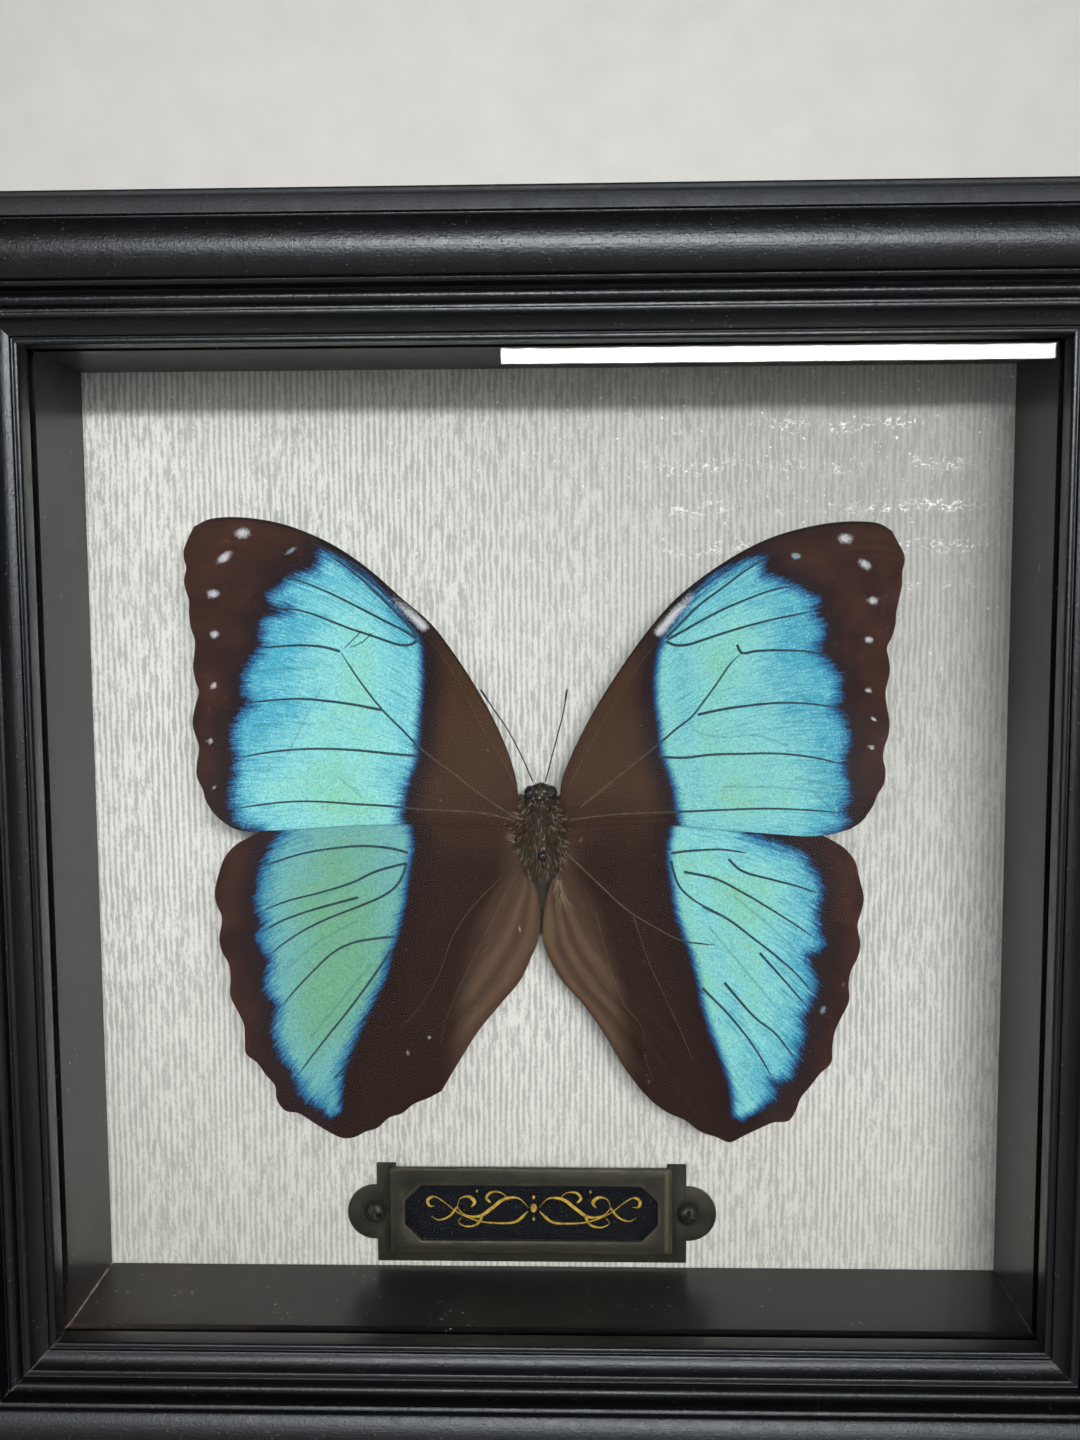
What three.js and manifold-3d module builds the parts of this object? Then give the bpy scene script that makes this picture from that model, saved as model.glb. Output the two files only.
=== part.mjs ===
// A shadow-box frame holding one spread butterfly, pinned over embossed paper above a card holder.
// Millimetres, +Z up, the glazed face looks along -Y. The part stands on its bottom edge.
//
// Inside the frame group, X and Z are measured from the middle of the sight opening and Y from the
// outer face of the glass. Heights ("lift") are measured forwards from the backing paper.
import * as THREE from 'three';
import { mergeVertices } from 'three/addons/utils/BufferGeometryUtils.js';
import Module from 'manifold-3d';

const wasm = await Module();
wasm.setup();

// ---- Driving dimensions ----

const SIGHT = 150; // side of the square opening
const RAIL_WIDTH = 21;
const RAIL_BACK = 28; // glass face to the back of the rails
const REBATE = 7; // width of the step that holds glass, walls and backing
const FIT = 0.3; // clearance between neighbouring pieces
const MITRE_GAP = 0.05; // half of the joint line between two rails
const TINY_FIT = 0.15; // clearance round the pin and the nails
const TAB_SLACK = 0.2; // clearance round a tab in its slot

const GLASS_THICKNESS = 2;
const BOX_DEPTH = 22.2; // glass face to backing paper
const WALL_THICKNESS = 6;
const BACKING_THICKNESS = 2;
const PANEL_THICKNESS = 2.5;

const TAB = { width: 8, length: 9, thickness: 0.4, inWood: 2.5, spacing: 45 };
const HANGER = { width: 44, height: 9, thickness: 0.8, teeth: 9, toothDepth: 1.4, nailSpacing: 38 };
const NAIL = { headRadius: 1.7, headHeight: 0.6, shankRadius: 0.7, length: 9 };

const HOLDER = {
  x: -2.9, // middle of the holder
  z: -65.4,
  plateWidth: 52.3,
  plateHeight: 17.1,
  earRadius: 4.7,
  earSpacing: 53,
  plateThickness: 0.8,
  frameWidth: 47.4,
  frameHeight: 14.6,
  frameRise: 1, // middle of the raised frame above the middle of the plate
  frameThickness: 2.2,
  sheet: 0.8,
  windowWidth: 42.6,
  windowHeight: 9.7,
  windowRise: 0.55,
  windowCorner: 2.8,
};
const CARD = { thickness: 0.5, lift: 0.2, margin: 0.9 };
const SCREW = {
  headRadius: 1.9,
  headHeight: 1,
  shankRadius: 0.9,
  inBoard: 1.6,
  slot: 0.5,
  crossWidth: 2.2,
  crossDepth: 0.6,
};

const ROOT_LIFT = 6.5; // height of the wings over the paper at the body
const WING_RISE = 0.1; // rise of the wings for each millimetre sideways
const WING_THICKNESS = 0.3;
const WING_STEPS_OUT = 8; // facets from root to tip
const TIP_CROWDING = 1.35; // above 1, the facets are closer together at the tip
const WING_LAP = 0.4; // forewings lie this far in front of the mean wing plane, hindwings behind it
const PLEAT = { depth: 0.45, count: 3, start: 0.72 };

const BODY_X = -1; // middle line of the butterfly
const BODY_LIFT = 5.5;
const PIN = { x: -0.5, z: -2.6, radius: 0.35, headRadius: 0.8, top: 9.7, headHeight: 1, inBoard: 1.5 };

// Wing outlines as [x, z]. Each has a leading edge and a trailing edge, both from root to tip, and an
// outer margin that joins their tips with its scallops.
const FOREWING_LEFT = {
  leading: [
    [-4.3, 6.6], [-4.6, 9.2], [-5.8, 13.6], [-8.3, 19.5], [-11.3, 25], [-14.5, 30], [-18, 34.6],
    [-22.3, 38.4], [-27, 42.7], [-32, 46.3], [-37, 48.8], [-42, 50.4], [-48, 51.1], [-51.8, 50.7],
    [-54, 49.6],
  ],
  margin: [
    [-54, 49.6], [-54.9, 47.8], [-55.6, 46], [-55.6, 44.6], [-55.3, 43.4], [-55.7, 41.3], [-55.4, 39.6],
    [-55, 38.2], [-55.1, 36.4], [-54.8, 33.8], [-54.3, 32.1], [-54.4, 30.2], [-54.7, 28], [-54.4, 25.8],
    [-53.9, 24.1], [-54.5, 22], [-55, 19], [-54.6, 17.2], [-54.1, 15.3], [-54.5, 12.9], [-54.6, 10.8],
    [-53.7, 8.6], [-53.4, 7.2], [-52.5, 5.4], [-50.9, 3.6], [-48.9, 2.3], [-46.8, 1.8],
  ],
  trailing: [[-4.3, 1.6], [-10, 2.2], [-16, 2.5], [-22, 2.6], [-30, 2.6], [-38, 2.2], [-46.8, 1.8]],
};
const FOREWING_RIGHT = {
  leading: [
    [2.3, 6.4], [2.6, 9.3], [4, 13], [6.3, 17.8], [9, 22.6], [12.5, 28], [16, 32.9], [20, 37.6],
    [24, 41], [28, 43.8], [32, 46.1], [36, 47.8], [40, 48.9], [44, 49.6], [48, 49.8], [51.3, 49.4],
    [53.1, 48.3],
  ],
  margin: [
    [53.1, 48.3], [54.1, 46.5], [55, 44.7], [55.1, 43.6], [54.8, 42.2], [54.8, 40.2], [54.4, 38],
    [54, 36], [53.9, 34], [53.4, 32.1], [52.7, 30.5], [53, 28.8], [53.2, 26.9], [52.9, 25.2],
    [52.6, 23.6], [52.9, 21.2], [53.3, 18.8], [53.1, 16.8], [52.6, 15.2], [52.4, 13.4], [52.8, 11.6],
    [52.6, 9.4], [51.6, 7.6], [51.2, 6.3], [50.3, 4.8], [49.3, 3.4], [47.6, 2.2],
  ],
  trailing: [
    [2.3, 1.5], [8, 2.2], [15, 2.4], [21, 2.3], [28, 1.8], [35, 1.3], [41, 1], [44.5, 1.3],
    [47.6, 2.2],
  ],
};
const HINDWING_LEFT = {
  leading: [[-4.3, 1], [-10, 4.5], [-20, 6.6], [-32, 6.4], [-41, 3.8], [-46.5, 1]],
  margin: [
    [-46.5, 1], [-49, -0.3], [-50.8, -2.3], [-51.7, -4.6], [-52.5, -7.8], [-52.3, -9.8], [-51.5, -12],
    [-52, -15.4], [-51.7, -17.4], [-50.6, -19.7], [-50.4, -22], [-50.5, -24.8], [-49.4, -27.4],
    [-48.5, -29.6], [-48.4, -32], [-48.3, -34.3], [-46.5, -36], [-45.2, -38], [-43.8, -39.8],
    [-43.6, -42], [-42.3, -44], [-40.2, -44.5], [-37.6, -46.3], [-35.2, -47.9], [-33.2, -48.9],
    [-31.2, -48.8], [-29.6, -48], [-27.6, -47.4], [-25.6, -45.7], [-23.6, -45.1], [-21.7, -43.6],
    [-19.4, -42.7], [-17.2, -41.6],
  ],
  trailing: [
    [-3.7, -5.6], [-1.5, -8.5], [-1, -12], [-1.2, -16.5], [-2.5, -19.8], [-4.2, -23.4], [-7.2, -27],
    [-11, -31.6], [-14.2, -36.6], [-17.2, -41.6],
  ],
};
const HINDWING_RIGHT = {
  leading: [[2.3, 0.9], [9, 4.2], [20, 6], [32, 5.6], [40, 2.8], [45.2, 0.2]],
  margin: [
    [45.2, 0.2], [47, -1], [48.6, -3], [49.2, -5.4], [50, -8.8], [49.6, -11.2], [49.1, -13.2],
    [49.6, -16.2], [49.2, -18.4], [48.2, -20.6], [47.9, -22.6], [48, -25.4], [46.9, -28],
    [45.9, -30.4], [45.5, -33], [45.4, -35.5], [43.6, -37.5], [42.2, -39.5], [40.7, -41.5],
    [39.9, -43.7], [38.8, -45.4], [36.4, -45.8], [34, -47], [31.6, -48.3], [29.5, -49.4],
    [27.4, -48.6], [24.8, -47.8], [22.3, -46], [19.8, -45], [17.4, -43.4], [15.2, -41.2],
  ],
  trailing: [
    [2, -5.6], [0.4, -8.5], [-0.3, -12], [-0.6, -16.8], [0.4, -19.8], [2.4, -23.4], [5.8, -27.2],
    [9.2, -32], [12.4, -37.4], [15.2, -41.2],
  ],
};

// ---- Helpers ----

const HALF = SIGHT / 2;
const OUTER = HALF + RAIL_WIDTH;
const depthAt = (lift) => BOX_DEPTH - lift;
const onPlane = ([x, z]) => new THREE.Vector3(x, 0, z);
const smooth = (points) => new THREE.CatmullRomCurve3(points.map(onPlane), false, 'centripetal');

function finish(color, roughness, metalness = 0) {
  return new THREE.MeshStandardMaterial({ color, roughness, metalness });
}

function named(name, geometry, material) {
  const mesh = new THREE.Mesh(geometry, material);
  mesh.name = name;
  return mesh;
}

function signedVolume(geometry) {
  const at = geometry.getAttribute('position');
  const index = geometry.index;
  const [a, b, c] = [new THREE.Vector3(), new THREE.Vector3(), new THREE.Vector3()];
  let total = 0;
  for (let i = 0; i < index.count; i += 3) {
    a.fromBufferAttribute(at, index.getX(i));
    b.fromBufferAttribute(at, index.getX(i + 1));
    c.fromBufferAttribute(at, index.getX(i + 2));
    total += a.dot(b.cross(c)) / 6;
  }
  return total;
}

// Merged positions only, without collapsed triangles, and with every face looking outwards.
function closedGeometry(source) {
  const bare = new THREE.BufferGeometry();
  bare.setAttribute('position', source.getAttribute('position'));
  if (source.index) bare.setIndex(source.index);
  const merged = mergeVertices(bare, 1e-4);
  const index = merged.index.array;
  const kept = [];
  for (let i = 0; i < index.length; i += 3) {
    const [a, b, c] = [index[i], index[i + 1], index[i + 2]];
    if (a !== b && b !== c && c !== a) kept.push(a, b, c);
  }
  merged.setIndex(kept);
  if (signedVolume(merged) < 0) merged.setIndex(kept.reverse());
  return merged;
}

function toSolid(geometry) {
  const closed = closedGeometry(geometry);
  return new wasm.Manifold(new wasm.Mesh({
    numProp: 3,
    vertProperties: new Float32Array(closed.getAttribute('position').array),
    triVerts: new Uint32Array(closed.index.array),
  }));
}

function toGeometry(solid) {
  const mesh = solid.getMesh();
  const geometry = new THREE.BufferGeometry();
  geometry.setAttribute('position', new THREE.BufferAttribute(mesh.vertProperties, 3));
  geometry.setIndex(new THREE.BufferAttribute(mesh.triVerts, 1));
  return geometry;
}

const without = (solid, cuts) => cuts.reduce((left, cut) => left.subtract(toSolid(cut)), solid);
const together = (pieces) => pieces.map(toSolid).reduce((all, piece) => all.add(piece));

// A box from its lowest to its highest corner.
function block(low, high) {
  const size = high.map((value, axis) => value - low[axis]);
  const middle = high.map((value, axis) => (value + low[axis]) / 2);
  return new THREE.BoxGeometry(...size).translate(...middle);
}

// A shape drawn in X and Z, given thickness from one lift to another.
function plate(shape, lowLift, highLift) {
  const geometry = new THREE.ExtrudeGeometry(shape, {
    depth: highLift - lowLift,
    bevelEnabled: false,
    curveSegments: 14,
  });
  return geometry.rotateX(Math.PI / 2).translate(0, depthAt(lowLift), 0);
}

// A round piece about the Y axis. The profile is [radius, lift] from the axis round to the axis.
function turned(profile, x, z, segments = 16) {
  const points = profile.map(([radius, lift]) => new THREE.Vector2(radius, lift));
  const geometry = new THREE.LatheGeometry(points, segments);
  return geometry.rotateX(Math.PI).translate(x, depthAt(0), z);
}

// A tapering tube along a curve. The radius is a function of the way along it, from 0 to 1.
function tube(curve, radiusAt, sides, steps) {
  const geometry = new THREE.CylinderGeometry(1, 1, 1, sides, steps);
  const at = geometry.getAttribute('position');
  const reference = new THREE.Vector3(0.2, 1, 0.1).normalize();
  for (let i = 0; i < at.count; i += 1) {
    const along = at.getY(i) + 0.5;
    const centre = curve.getPointAt(along);
    const across = curve.getTangentAt(along).cross(reference).normalize();
    const upward = across.clone().cross(curve.getTangentAt(along)).normalize();
    const radius = radiusAt(along);
    centre.addScaledVector(across, at.getX(i) * radius);
    centre.addScaledVector(upward, at.getZ(i) * radius);
    at.setXYZ(i, centre.x, centre.y, centre.z);
  }
  return closedGeometry(geometry);
}

function ellipsoid([x, lift, z], [rx, ry, rz], segments = 16) {
  const geometry = new THREE.SphereGeometry(1, segments, Math.round(segments * 0.65)).scale(rx, rz, ry);
  return geometry.rotateX(Math.PI / 2).translate(x, depthAt(lift), z);
}

// ---- Frame ----

// The moulding's section: x runs outwards from the sight edge, y forwards from the glass.
function mouldingSection() {
  const shape = new THREE.Shape();
  shape.moveTo(0, FIT);
  shape.lineTo(0, 3.3);
  shape.quadraticCurveTo(0, 3.85, 0.5, 3.85); // lip
  shape.lineTo(0.8, 3.85);
  shape.lineTo(0.9, 3.45);
  shape.lineTo(1.15, 3.45);
  shape.lineTo(1.25, 3.9);
  shape.quadraticCurveTo(2.9, 4.1, 3.6, 5.5); // cove
  shape.lineTo(4.2, 5.6);
  shape.lineTo(4.35, 4.85);
  shape.lineTo(4.95, 4.85);
  shape.absarc(5.85, 5.7, 0.9, Math.PI, 0, true); // bead
  shape.lineTo(6.8, 4.95);
  shape.lineTo(7.3, 4.95);
  shape.lineTo(7.4, 7.7);
  shape.lineTo(8, 7.95);
  shape.lineTo(8.15, 7.5);
  const crown = { x: 13.3, y: 0.3, radius: 9 };
  const crownAngle = (u) => Math.acos((u - crown.x) / crown.radius);
  shape.absarc(crown.x, crown.y, crown.radius, crownAngle(8.4), crownAngle(16.2), true);
  shape.lineTo(16.35, 7.4);
  shape.lineTo(16.9, 7.2);
  shape.lineTo(17.05, 7.8);
  shape.lineTo(19.4, 7.6); // outer fillet
  shape.lineTo(19.6, 6.3);
  shape.lineTo(20.2, 6.15);
  shape.quadraticCurveTo(RAIL_WIDTH, 6.4, RAIL_WIDTH, 5.2);
  shape.lineTo(RAIL_WIDTH, -RAIL_BACK);
  shape.lineTo(REBATE, -RAIL_BACK);
  shape.lineTo(REBATE, FIT);
  shape.closePath();
  return shape;
}

function wallSection() {
  const shape = new THREE.Shape();
  const front = -(GLASS_THICKNESS + FIT);
  const back = -(BOX_DEPTH - FIT);
  shape.moveTo(0, front);
  shape.lineTo(WALL_THICKNESS, front);
  shape.lineTo(WALL_THICKNESS, back);
  shape.lineTo(0, back);
  shape.closePath();
  return shape;
}

// The top member of a square: a section swept along X, with both ends mitred at 45 degrees.
function mitredMember(section) {
  const geometry = new THREE.ExtrudeGeometry(section, {
    depth: 1,
    steps: 1,
    bevelEnabled: false,
    curveSegments: 6,
  });
  const at = geometry.getAttribute('position');
  for (let i = 0; i < at.count; i += 1) {
    const outwards = at.getX(i);
    const end = at.getZ(i) < 0.5 ? -1 : 1;
    at.setXYZ(i, end * (HALF + outwards - MITRE_GAP), -at.getY(i), HALF + outwards);
  }
  return geometry;
}

const PANEL_FRONT = BOX_DEPTH + BACKING_THICKNESS + FIT;
const PANEL_BACK = PANEL_FRONT + PANEL_THICKNESS;
const TAB_FRONT = PANEL_BACK + 0.1;
const SIDES = ['top', 'right', 'bottom', 'left'];
const quarterTurn = (side) => SIDES.indexOf(side) * (Math.PI / 2);
const HANGER_Z = HALF + RAIL_WIDTH / 2 + 3;
const HANGER_FRONT = RAIL_BACK + 0.2;
const NAIL_PLACES = [-HANGER.nailSpacing / 2, HANGER.nailSpacing / 2];

// A tab on the top rail: it grips the panel's edge and runs up into the wood.
function tabBlock(x, slack) {
  return block(
    [x - TAB.width / 2 - slack, TAB_FRONT - slack / 2, HALF + REBATE + TAB.inWood - TAB.length],
    [x + TAB.width / 2 + slack, TAB_FRONT + TAB.thickness + slack / 2, HALF + REBATE + TAB.inWood + slack],
  );
}

function railGeometry(side) {
  const rail = toSolid(mitredMember(mouldingSection()));
  const cuts = [-TAB.spacing, TAB.spacing].map((x) => tabBlock(x, TAB_SLACK));
  if (side === 'top') cuts.push(...NAIL_PLACES.map((x) => nailShape(x, TINY_FIT)));
  return toGeometry(without(rail, cuts));
}

function addSquareOf(group, prefix, geometryFor, material) {
  for (const side of SIDES) {
    const mesh = named(`${prefix}_${side}`, geometryFor(side), material);
    mesh.rotation.y = quarterTurn(side);
    group.add(mesh);
  }
}

function addTabs(group) {
  const steel = finish(0x9a9a96, 0.4, 0.9);
  for (const side of SIDES) {
    for (const [end, x] of [['a', -TAB.spacing], ['b', TAB.spacing]]) {
      const mesh = named(`back_tab_${side}_${end}`, tabBlock(x, 0), steel);
      mesh.rotation.y = quarterTurn(side);
      group.add(mesh);
    }
  }
}

// ---- Hanger ----

function nailShape(x, slack) {
  const plateBack = HANGER_FRONT + HANGER.thickness;
  const profile = [
    [0, -NAIL.length],
    [NAIL.shankRadius + slack, 2 - NAIL.length],
    [NAIL.shankRadius + slack, 0.1],
    [NAIL.headRadius, 0.1],
    [NAIL.headRadius * 0.8, NAIL.headHeight],
    [0, NAIL.headHeight],
  ].map(([radius, height]) => new THREE.Vector2(radius, height));
  const geometry = new THREE.LatheGeometry(profile, 12);
  return geometry.translate(0, plateBack, 0).translate(x, 0, HANGER_Z + HANGER.height / 4);
}

function hangerShape() {
  const half = HANGER.width / 2;
  const low = -HANGER.height / 2;
  const shape = new THREE.Shape();
  shape.moveTo(-half, low + 1.5);
  shape.quadraticCurveTo(-half, low, -half + 1.5, low);
  shape.lineTo(half - 1.5, low);
  shape.quadraticCurveTo(half, low, half, low + 1.5);
  shape.lineTo(half, -low - 1.5);
  shape.quadraticCurveTo(half, -low, half - 1.5, -low);
  shape.lineTo(-half + 1.5, -low);
  shape.quadraticCurveTo(-half, -low, -half, -low - 1.5);
  shape.closePath();
  shape.holes.push(toothedSlot());
  return shape;
}

// The opening a wall nail goes into, with teeth along its upper edge.
function toothedSlot() {
  const slotHalf = HANGER.nailSpacing / 2 - NAIL.headRadius - 1.5;
  const pitch = (2 * slotHalf) / HANGER.teeth;
  const slot = new THREE.Path();
  slot.moveTo(-slotHalf, -2.5);
  for (let i = 0; i < HANGER.teeth; i += 1) {
    const start = -slotHalf + i * pitch;
    slot.lineTo(start, 1);
    slot.lineTo(start + pitch / 2, 1 + HANGER.toothDepth);
  }
  slot.lineTo(slotHalf, 1);
  slot.lineTo(slotHalf, -2.5);
  slot.closePath();
  return slot;
}

function addHanger(group) {
  const steel = finish(0xa8a49a, 0.35, 0.9);
  const flat = new THREE.ExtrudeGeometry(hangerShape(), { depth: HANGER.thickness, bevelEnabled: false });
  flat.rotateX(Math.PI / 2).translate(0, HANGER_FRONT + HANGER.thickness, HANGER_Z);
  const holes = NAIL_PLACES.map((x) => nailShape(x, TINY_FIT));
  group.add(named('hanger', toGeometry(without(toSolid(flat), holes)), steel));
  NAIL_PLACES.forEach((x, i) => {
    group.add(named(`hanger_nail_${['left', 'right'][i]}`, closedGeometry(nailShape(x, 0)), steel));
  });
}

// ---- Backing, panel and glass ----

function squareSheet(halfSide, front, back) {
  return block([-halfSide, front, -halfSide], [halfSide, back, halfSide]);
}

function backingGeometry() {
  const sheet = squareSheet(HALF + REBATE - FIT, BOX_DEPTH, BOX_DEPTH + BACKING_THICKNESS);
  const cuts = [pinGeometry(TINY_FIT), ...earMiddles().map((x) => screwBody(x, TINY_FIT))];
  return toGeometry(without(toSolid(sheet), cuts));
}

// ---- Card holder ----

const earMiddles = () => [HOLDER.x - HOLDER.earSpacing / 2, HOLDER.x + HOLDER.earSpacing / 2];

function rectangle(width, height, x, z, corner = 0) {
  const [w, h] = [width / 2, height / 2];
  const shape = new THREE.Shape();
  shape.moveTo(x - w + corner, z - h);
  shape.lineTo(x + w - corner, z - h);
  if (corner) shape.lineTo(x + w, z - h + corner);
  shape.lineTo(x + w, z + h - corner);
  if (corner) shape.lineTo(x + w - corner, z + h);
  shape.lineTo(x - w + corner, z + h);
  if (corner) shape.lineTo(x - w, z + h - corner);
  shape.lineTo(x - w, z - h + corner);
  shape.closePath();
  return shape;
}

function disc(x, z, radius) {
  const shape = new THREE.Shape();
  shape.absarc(x, z, radius, 0, 2 * Math.PI, false);
  return shape;
}

// A stamped plate with two round ears and a raised, windowed front. The card slides in from above.
function holderGeometry() {
  const { x, z, plateThickness, frameThickness, sheet } = HOLDER;
  const lowest = 0.1;
  const frameZ = z + HOLDER.frameRise;
  const body = together([
    plate(rectangle(HOLDER.plateWidth, HOLDER.plateHeight, x, z), lowest, plateThickness),
    ...earMiddles().map((ear) => plate(disc(ear, z, HOLDER.earRadius), lowest, plateThickness)),
    plate(rectangle(HOLDER.frameWidth, HOLDER.frameHeight, x, frameZ, 0.3), lowest, frameThickness),
  ]);
  const windowZ = z + HOLDER.windowRise;
  const window = rectangle(HOLDER.windowWidth, HOLDER.windowHeight, x, windowZ, HOLDER.windowCorner);
  const openTop = 2; // the pocket runs out through the upper edge
  const pocketWidth = HOLDER.frameWidth - 2 * sheet;
  const pocketHeight = HOLDER.frameHeight - sheet + openTop;
  const pocket = rectangle(pocketWidth, pocketHeight, x, frameZ + (sheet + openTop) / 2);
  return toGeometry(without(body, [
    plate(window, -1, frameThickness + 1),
    plate(pocket, -1, frameThickness - sheet),
    ...earMiddles().map((ear) => plate(disc(ear, z, SCREW.shankRadius + TINY_FIT), -1, frameThickness)),
  ]));
}

function cardGeometry() {
  const width = HOLDER.frameWidth - 2 * (HOLDER.sheet + CARD.margin);
  const height = HOLDER.frameHeight - 2 * (HOLDER.sheet + CARD.margin);
  const shape = rectangle(width, height, HOLDER.x, HOLDER.z + HOLDER.frameRise);
  return plate(shape, CARD.lift, CARD.lift + CARD.thickness);
}

function screwBody(x, slack) {
  const seat = HOLDER.plateThickness + 0.1;
  const rim = SCREW.headRadius;
  return turned([
    [0, -SCREW.inBoard - slack],
    [SCREW.shankRadius + slack, -SCREW.inBoard - slack],
    [SCREW.shankRadius + slack, seat],
    [rim, seat],
    [rim * 0.95, seat + SCREW.headHeight * 0.4],
    [rim * 0.65, seat + SCREW.headHeight * 0.85],
    [0, seat + SCREW.headHeight],
  ], x, HOLDER.z);
}

function screwGeometry(x) {
  const top = HOLDER.plateThickness + 0.1 + SCREW.headHeight;
  const cross = [[SCREW.crossWidth, SCREW.slot], [SCREW.slot, SCREW.crossWidth]];
  const cuts = cross.map(([width, height]) => (
    plate(rectangle(width, height, x, HOLDER.z), top - SCREW.crossDepth, top + 1)
  ));
  return toGeometry(without(toSolid(screwBody(x, 0)), cuts));
}

// ---- Butterfly ----

// A wing is a patch stretched between its four edges, then given its thickness and its rise.
function wingGeometry({ leading, margin, trailing }, lap, pleated) {
  const stepsAcross = margin.length - 1;
  const [lead, edge, trail] = [smooth(leading), smooth(margin), smooth(trailing)];
  const root = new THREE.LineCurve3(onPlane(leading[0]), onPlane(trailing[0]));
  const geometry = new THREE.BoxGeometry(1, 1, 1, WING_STEPS_OUT, 1, stepsAcross);
  const at = geometry.getAttribute('position');
  for (let i = 0; i < at.count; i += 1) {
    const out = 1 - (0.5 - at.getX(i)) ** TIP_CROWDING;
    const across = at.getZ(i) + 0.5;
    const point = patchPoint(lead, trail, root, edge, out, across);
    const lift = wingLift(point.x, lap) + (pleated ? pleatLift(out, across) : 0);
    at.setXYZ(i, point.x, depthAt(lift + at.getY(i) * WING_THICKNESS), point.z);
  }
  return closedGeometry(geometry);
}

// Coons patch: the edges' blends less the blend of the corners.
function patchPoint(lead, trail, root, edge, out, across) {
  const a = lead.getPointAt(out).multiplyScalar(1 - across);
  const b = trail.getPointAt(out).multiplyScalar(across);
  const c = root.getPoint(across).multiplyScalar(1 - out);
  const d = edge.getPoint(across).multiplyScalar(out);
  const sum = a.add(b).add(c).add(d);
  sum.addScaledVector(lead.getPoint(0), -(1 - out) * (1 - across));
  sum.addScaledVector(trail.getPoint(0), -(1 - out) * across);
  sum.addScaledVector(lead.getPoint(1), -out * (1 - across));
  sum.addScaledVector(trail.getPoint(1), -out * across);
  return sum;
}

const wingLift = (x, lap) => ROOT_LIFT + WING_RISE * Math.abs(x) + lap;

// Soft folds that fan out from the root along the inner edge of a hindwing.
function pleatLift(out, across) {
  if (across < PLEAT.start) return 0;
  const way = (across - PLEAT.start) / (1 - PLEAT.start);
  const fade = (4 * out * (1 - out)) ** 1.5;
  return PLEAT.depth * fade * way * (1 - Math.cos(2 * Math.PI * PLEAT.count * way)) * 0.5;
}

function bodyGeometry() {
  const eyes = [-1.75, 1.75].map((side) => [[BODY_X + side, 6.1, 7.3], [1, 1.05, 1.15], 10]);
  const lobes = [
    [[BODY_X, 5.9, 7], [1.9, 1.8, 1.7]], // head
    [[BODY_X, BODY_LIFT, -0.4], [2.85, 2.9, 5.8]], // thorax
    [[BODY_X + 0.2, 4, -9.6], [1.9, 1.6, 6.6]], // abdomen
    ...eyes,
  ];
  const legs = legCurves().map((leg) => tube(leg, (along) => 0.34 - 0.16 * along, 5, 7));
  const body = together([...lobes.map((lobe) => ellipsoid(...lobe)), ...legs]);
  return toGeometry(without(body, [pinGeometry(TINY_FIT)]));
}

// Four walking legs, folded up under the thorax.
function legCurves() {
  const curves = [];
  for (const side of [-1, 1]) {
    for (const z of [2.2, -2]) {
      const way = Math.sign(z);
      const joints = [[0.9, 3.4, z], [2.2, 1.9, z + way], [2.7, 2.6, z + 3 * way], [1.8, 1.3, z + 4.5 * way]];
      curves.push(new THREE.CatmullRomCurve3(joints.map(
        ([out, lift, height]) => new THREE.Vector3(BODY_X + side * out, depthAt(lift), height),
      )));
    }
  }
  return curves;
}

function antennaGeometry(points) {
  const path = points.map(([x, lift, z]) => new THREE.Vector3(x, depthAt(lift), z));
  const clubStart = 0.86;
  const radius = (along) => {
    const club = Math.max(0, (along - clubStart) / (1 - clubStart));
    return 0.17 + 0.16 * Math.sin(Math.PI * Math.min(club * 0.9, 1));
  };
  return tube(new THREE.CatmullRomCurve3(path), radius, 6, 14);
}

function pinGeometry(slack) {
  const neck = PIN.top - PIN.headHeight;
  return turned([
    [0, -PIN.inBoard - slack],
    [PIN.radius + slack, 0.6 - PIN.inBoard],
    [PIN.radius + slack, neck],
    [PIN.headRadius * 0.8, neck + 0.1],
    [PIN.headRadius, neck + PIN.headHeight * 0.5],
    [PIN.headRadius * 0.7, neck + PIN.headHeight * 0.85],
    [0, PIN.top],
  ], PIN.x, PIN.z, 12);
}

const ANTENNA_LEFT = [[-2, 6.9, 9.1], [-4, 7.2, 13.7], [-6, 7.5, 17.6], [-8, 7.7, 20.6], [-10.2, 8, 24]];
const ANTENNA_RIGHT = [[0, 6.9, 9.1], [0.9, 7.2, 12.6], [1.9, 7.4, 16.4], [2.9, 7.6, 20.2], [3.5, 7.8, 24]];

// ---- Assembly ----

function addButterfly(group) {
  const wing = finish(0x3fa9bd, 0.55, 0.1);
  const chitin = finish(0x2a221c, 0.8);
  group.add(named('forewing_left', wingGeometry(FOREWING_LEFT, WING_LAP, false), wing));
  group.add(named('forewing_right', wingGeometry(FOREWING_RIGHT, WING_LAP, false), wing));
  group.add(named('hindwing_left', wingGeometry(HINDWING_LEFT, -WING_LAP, true), wing));
  group.add(named('hindwing_right', wingGeometry(HINDWING_RIGHT, -WING_LAP, true), wing));
  group.add(named('butterfly_body', bodyGeometry(), chitin));
  group.add(named('antenna_left', antennaGeometry(ANTENNA_LEFT), chitin));
  group.add(named('antenna_right', antennaGeometry(ANTENNA_RIGHT), chitin));
  group.add(named('specimen_pin', closedGeometry(pinGeometry(0)), finish(0x15151a, 0.25, 0.6)));
}

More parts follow.
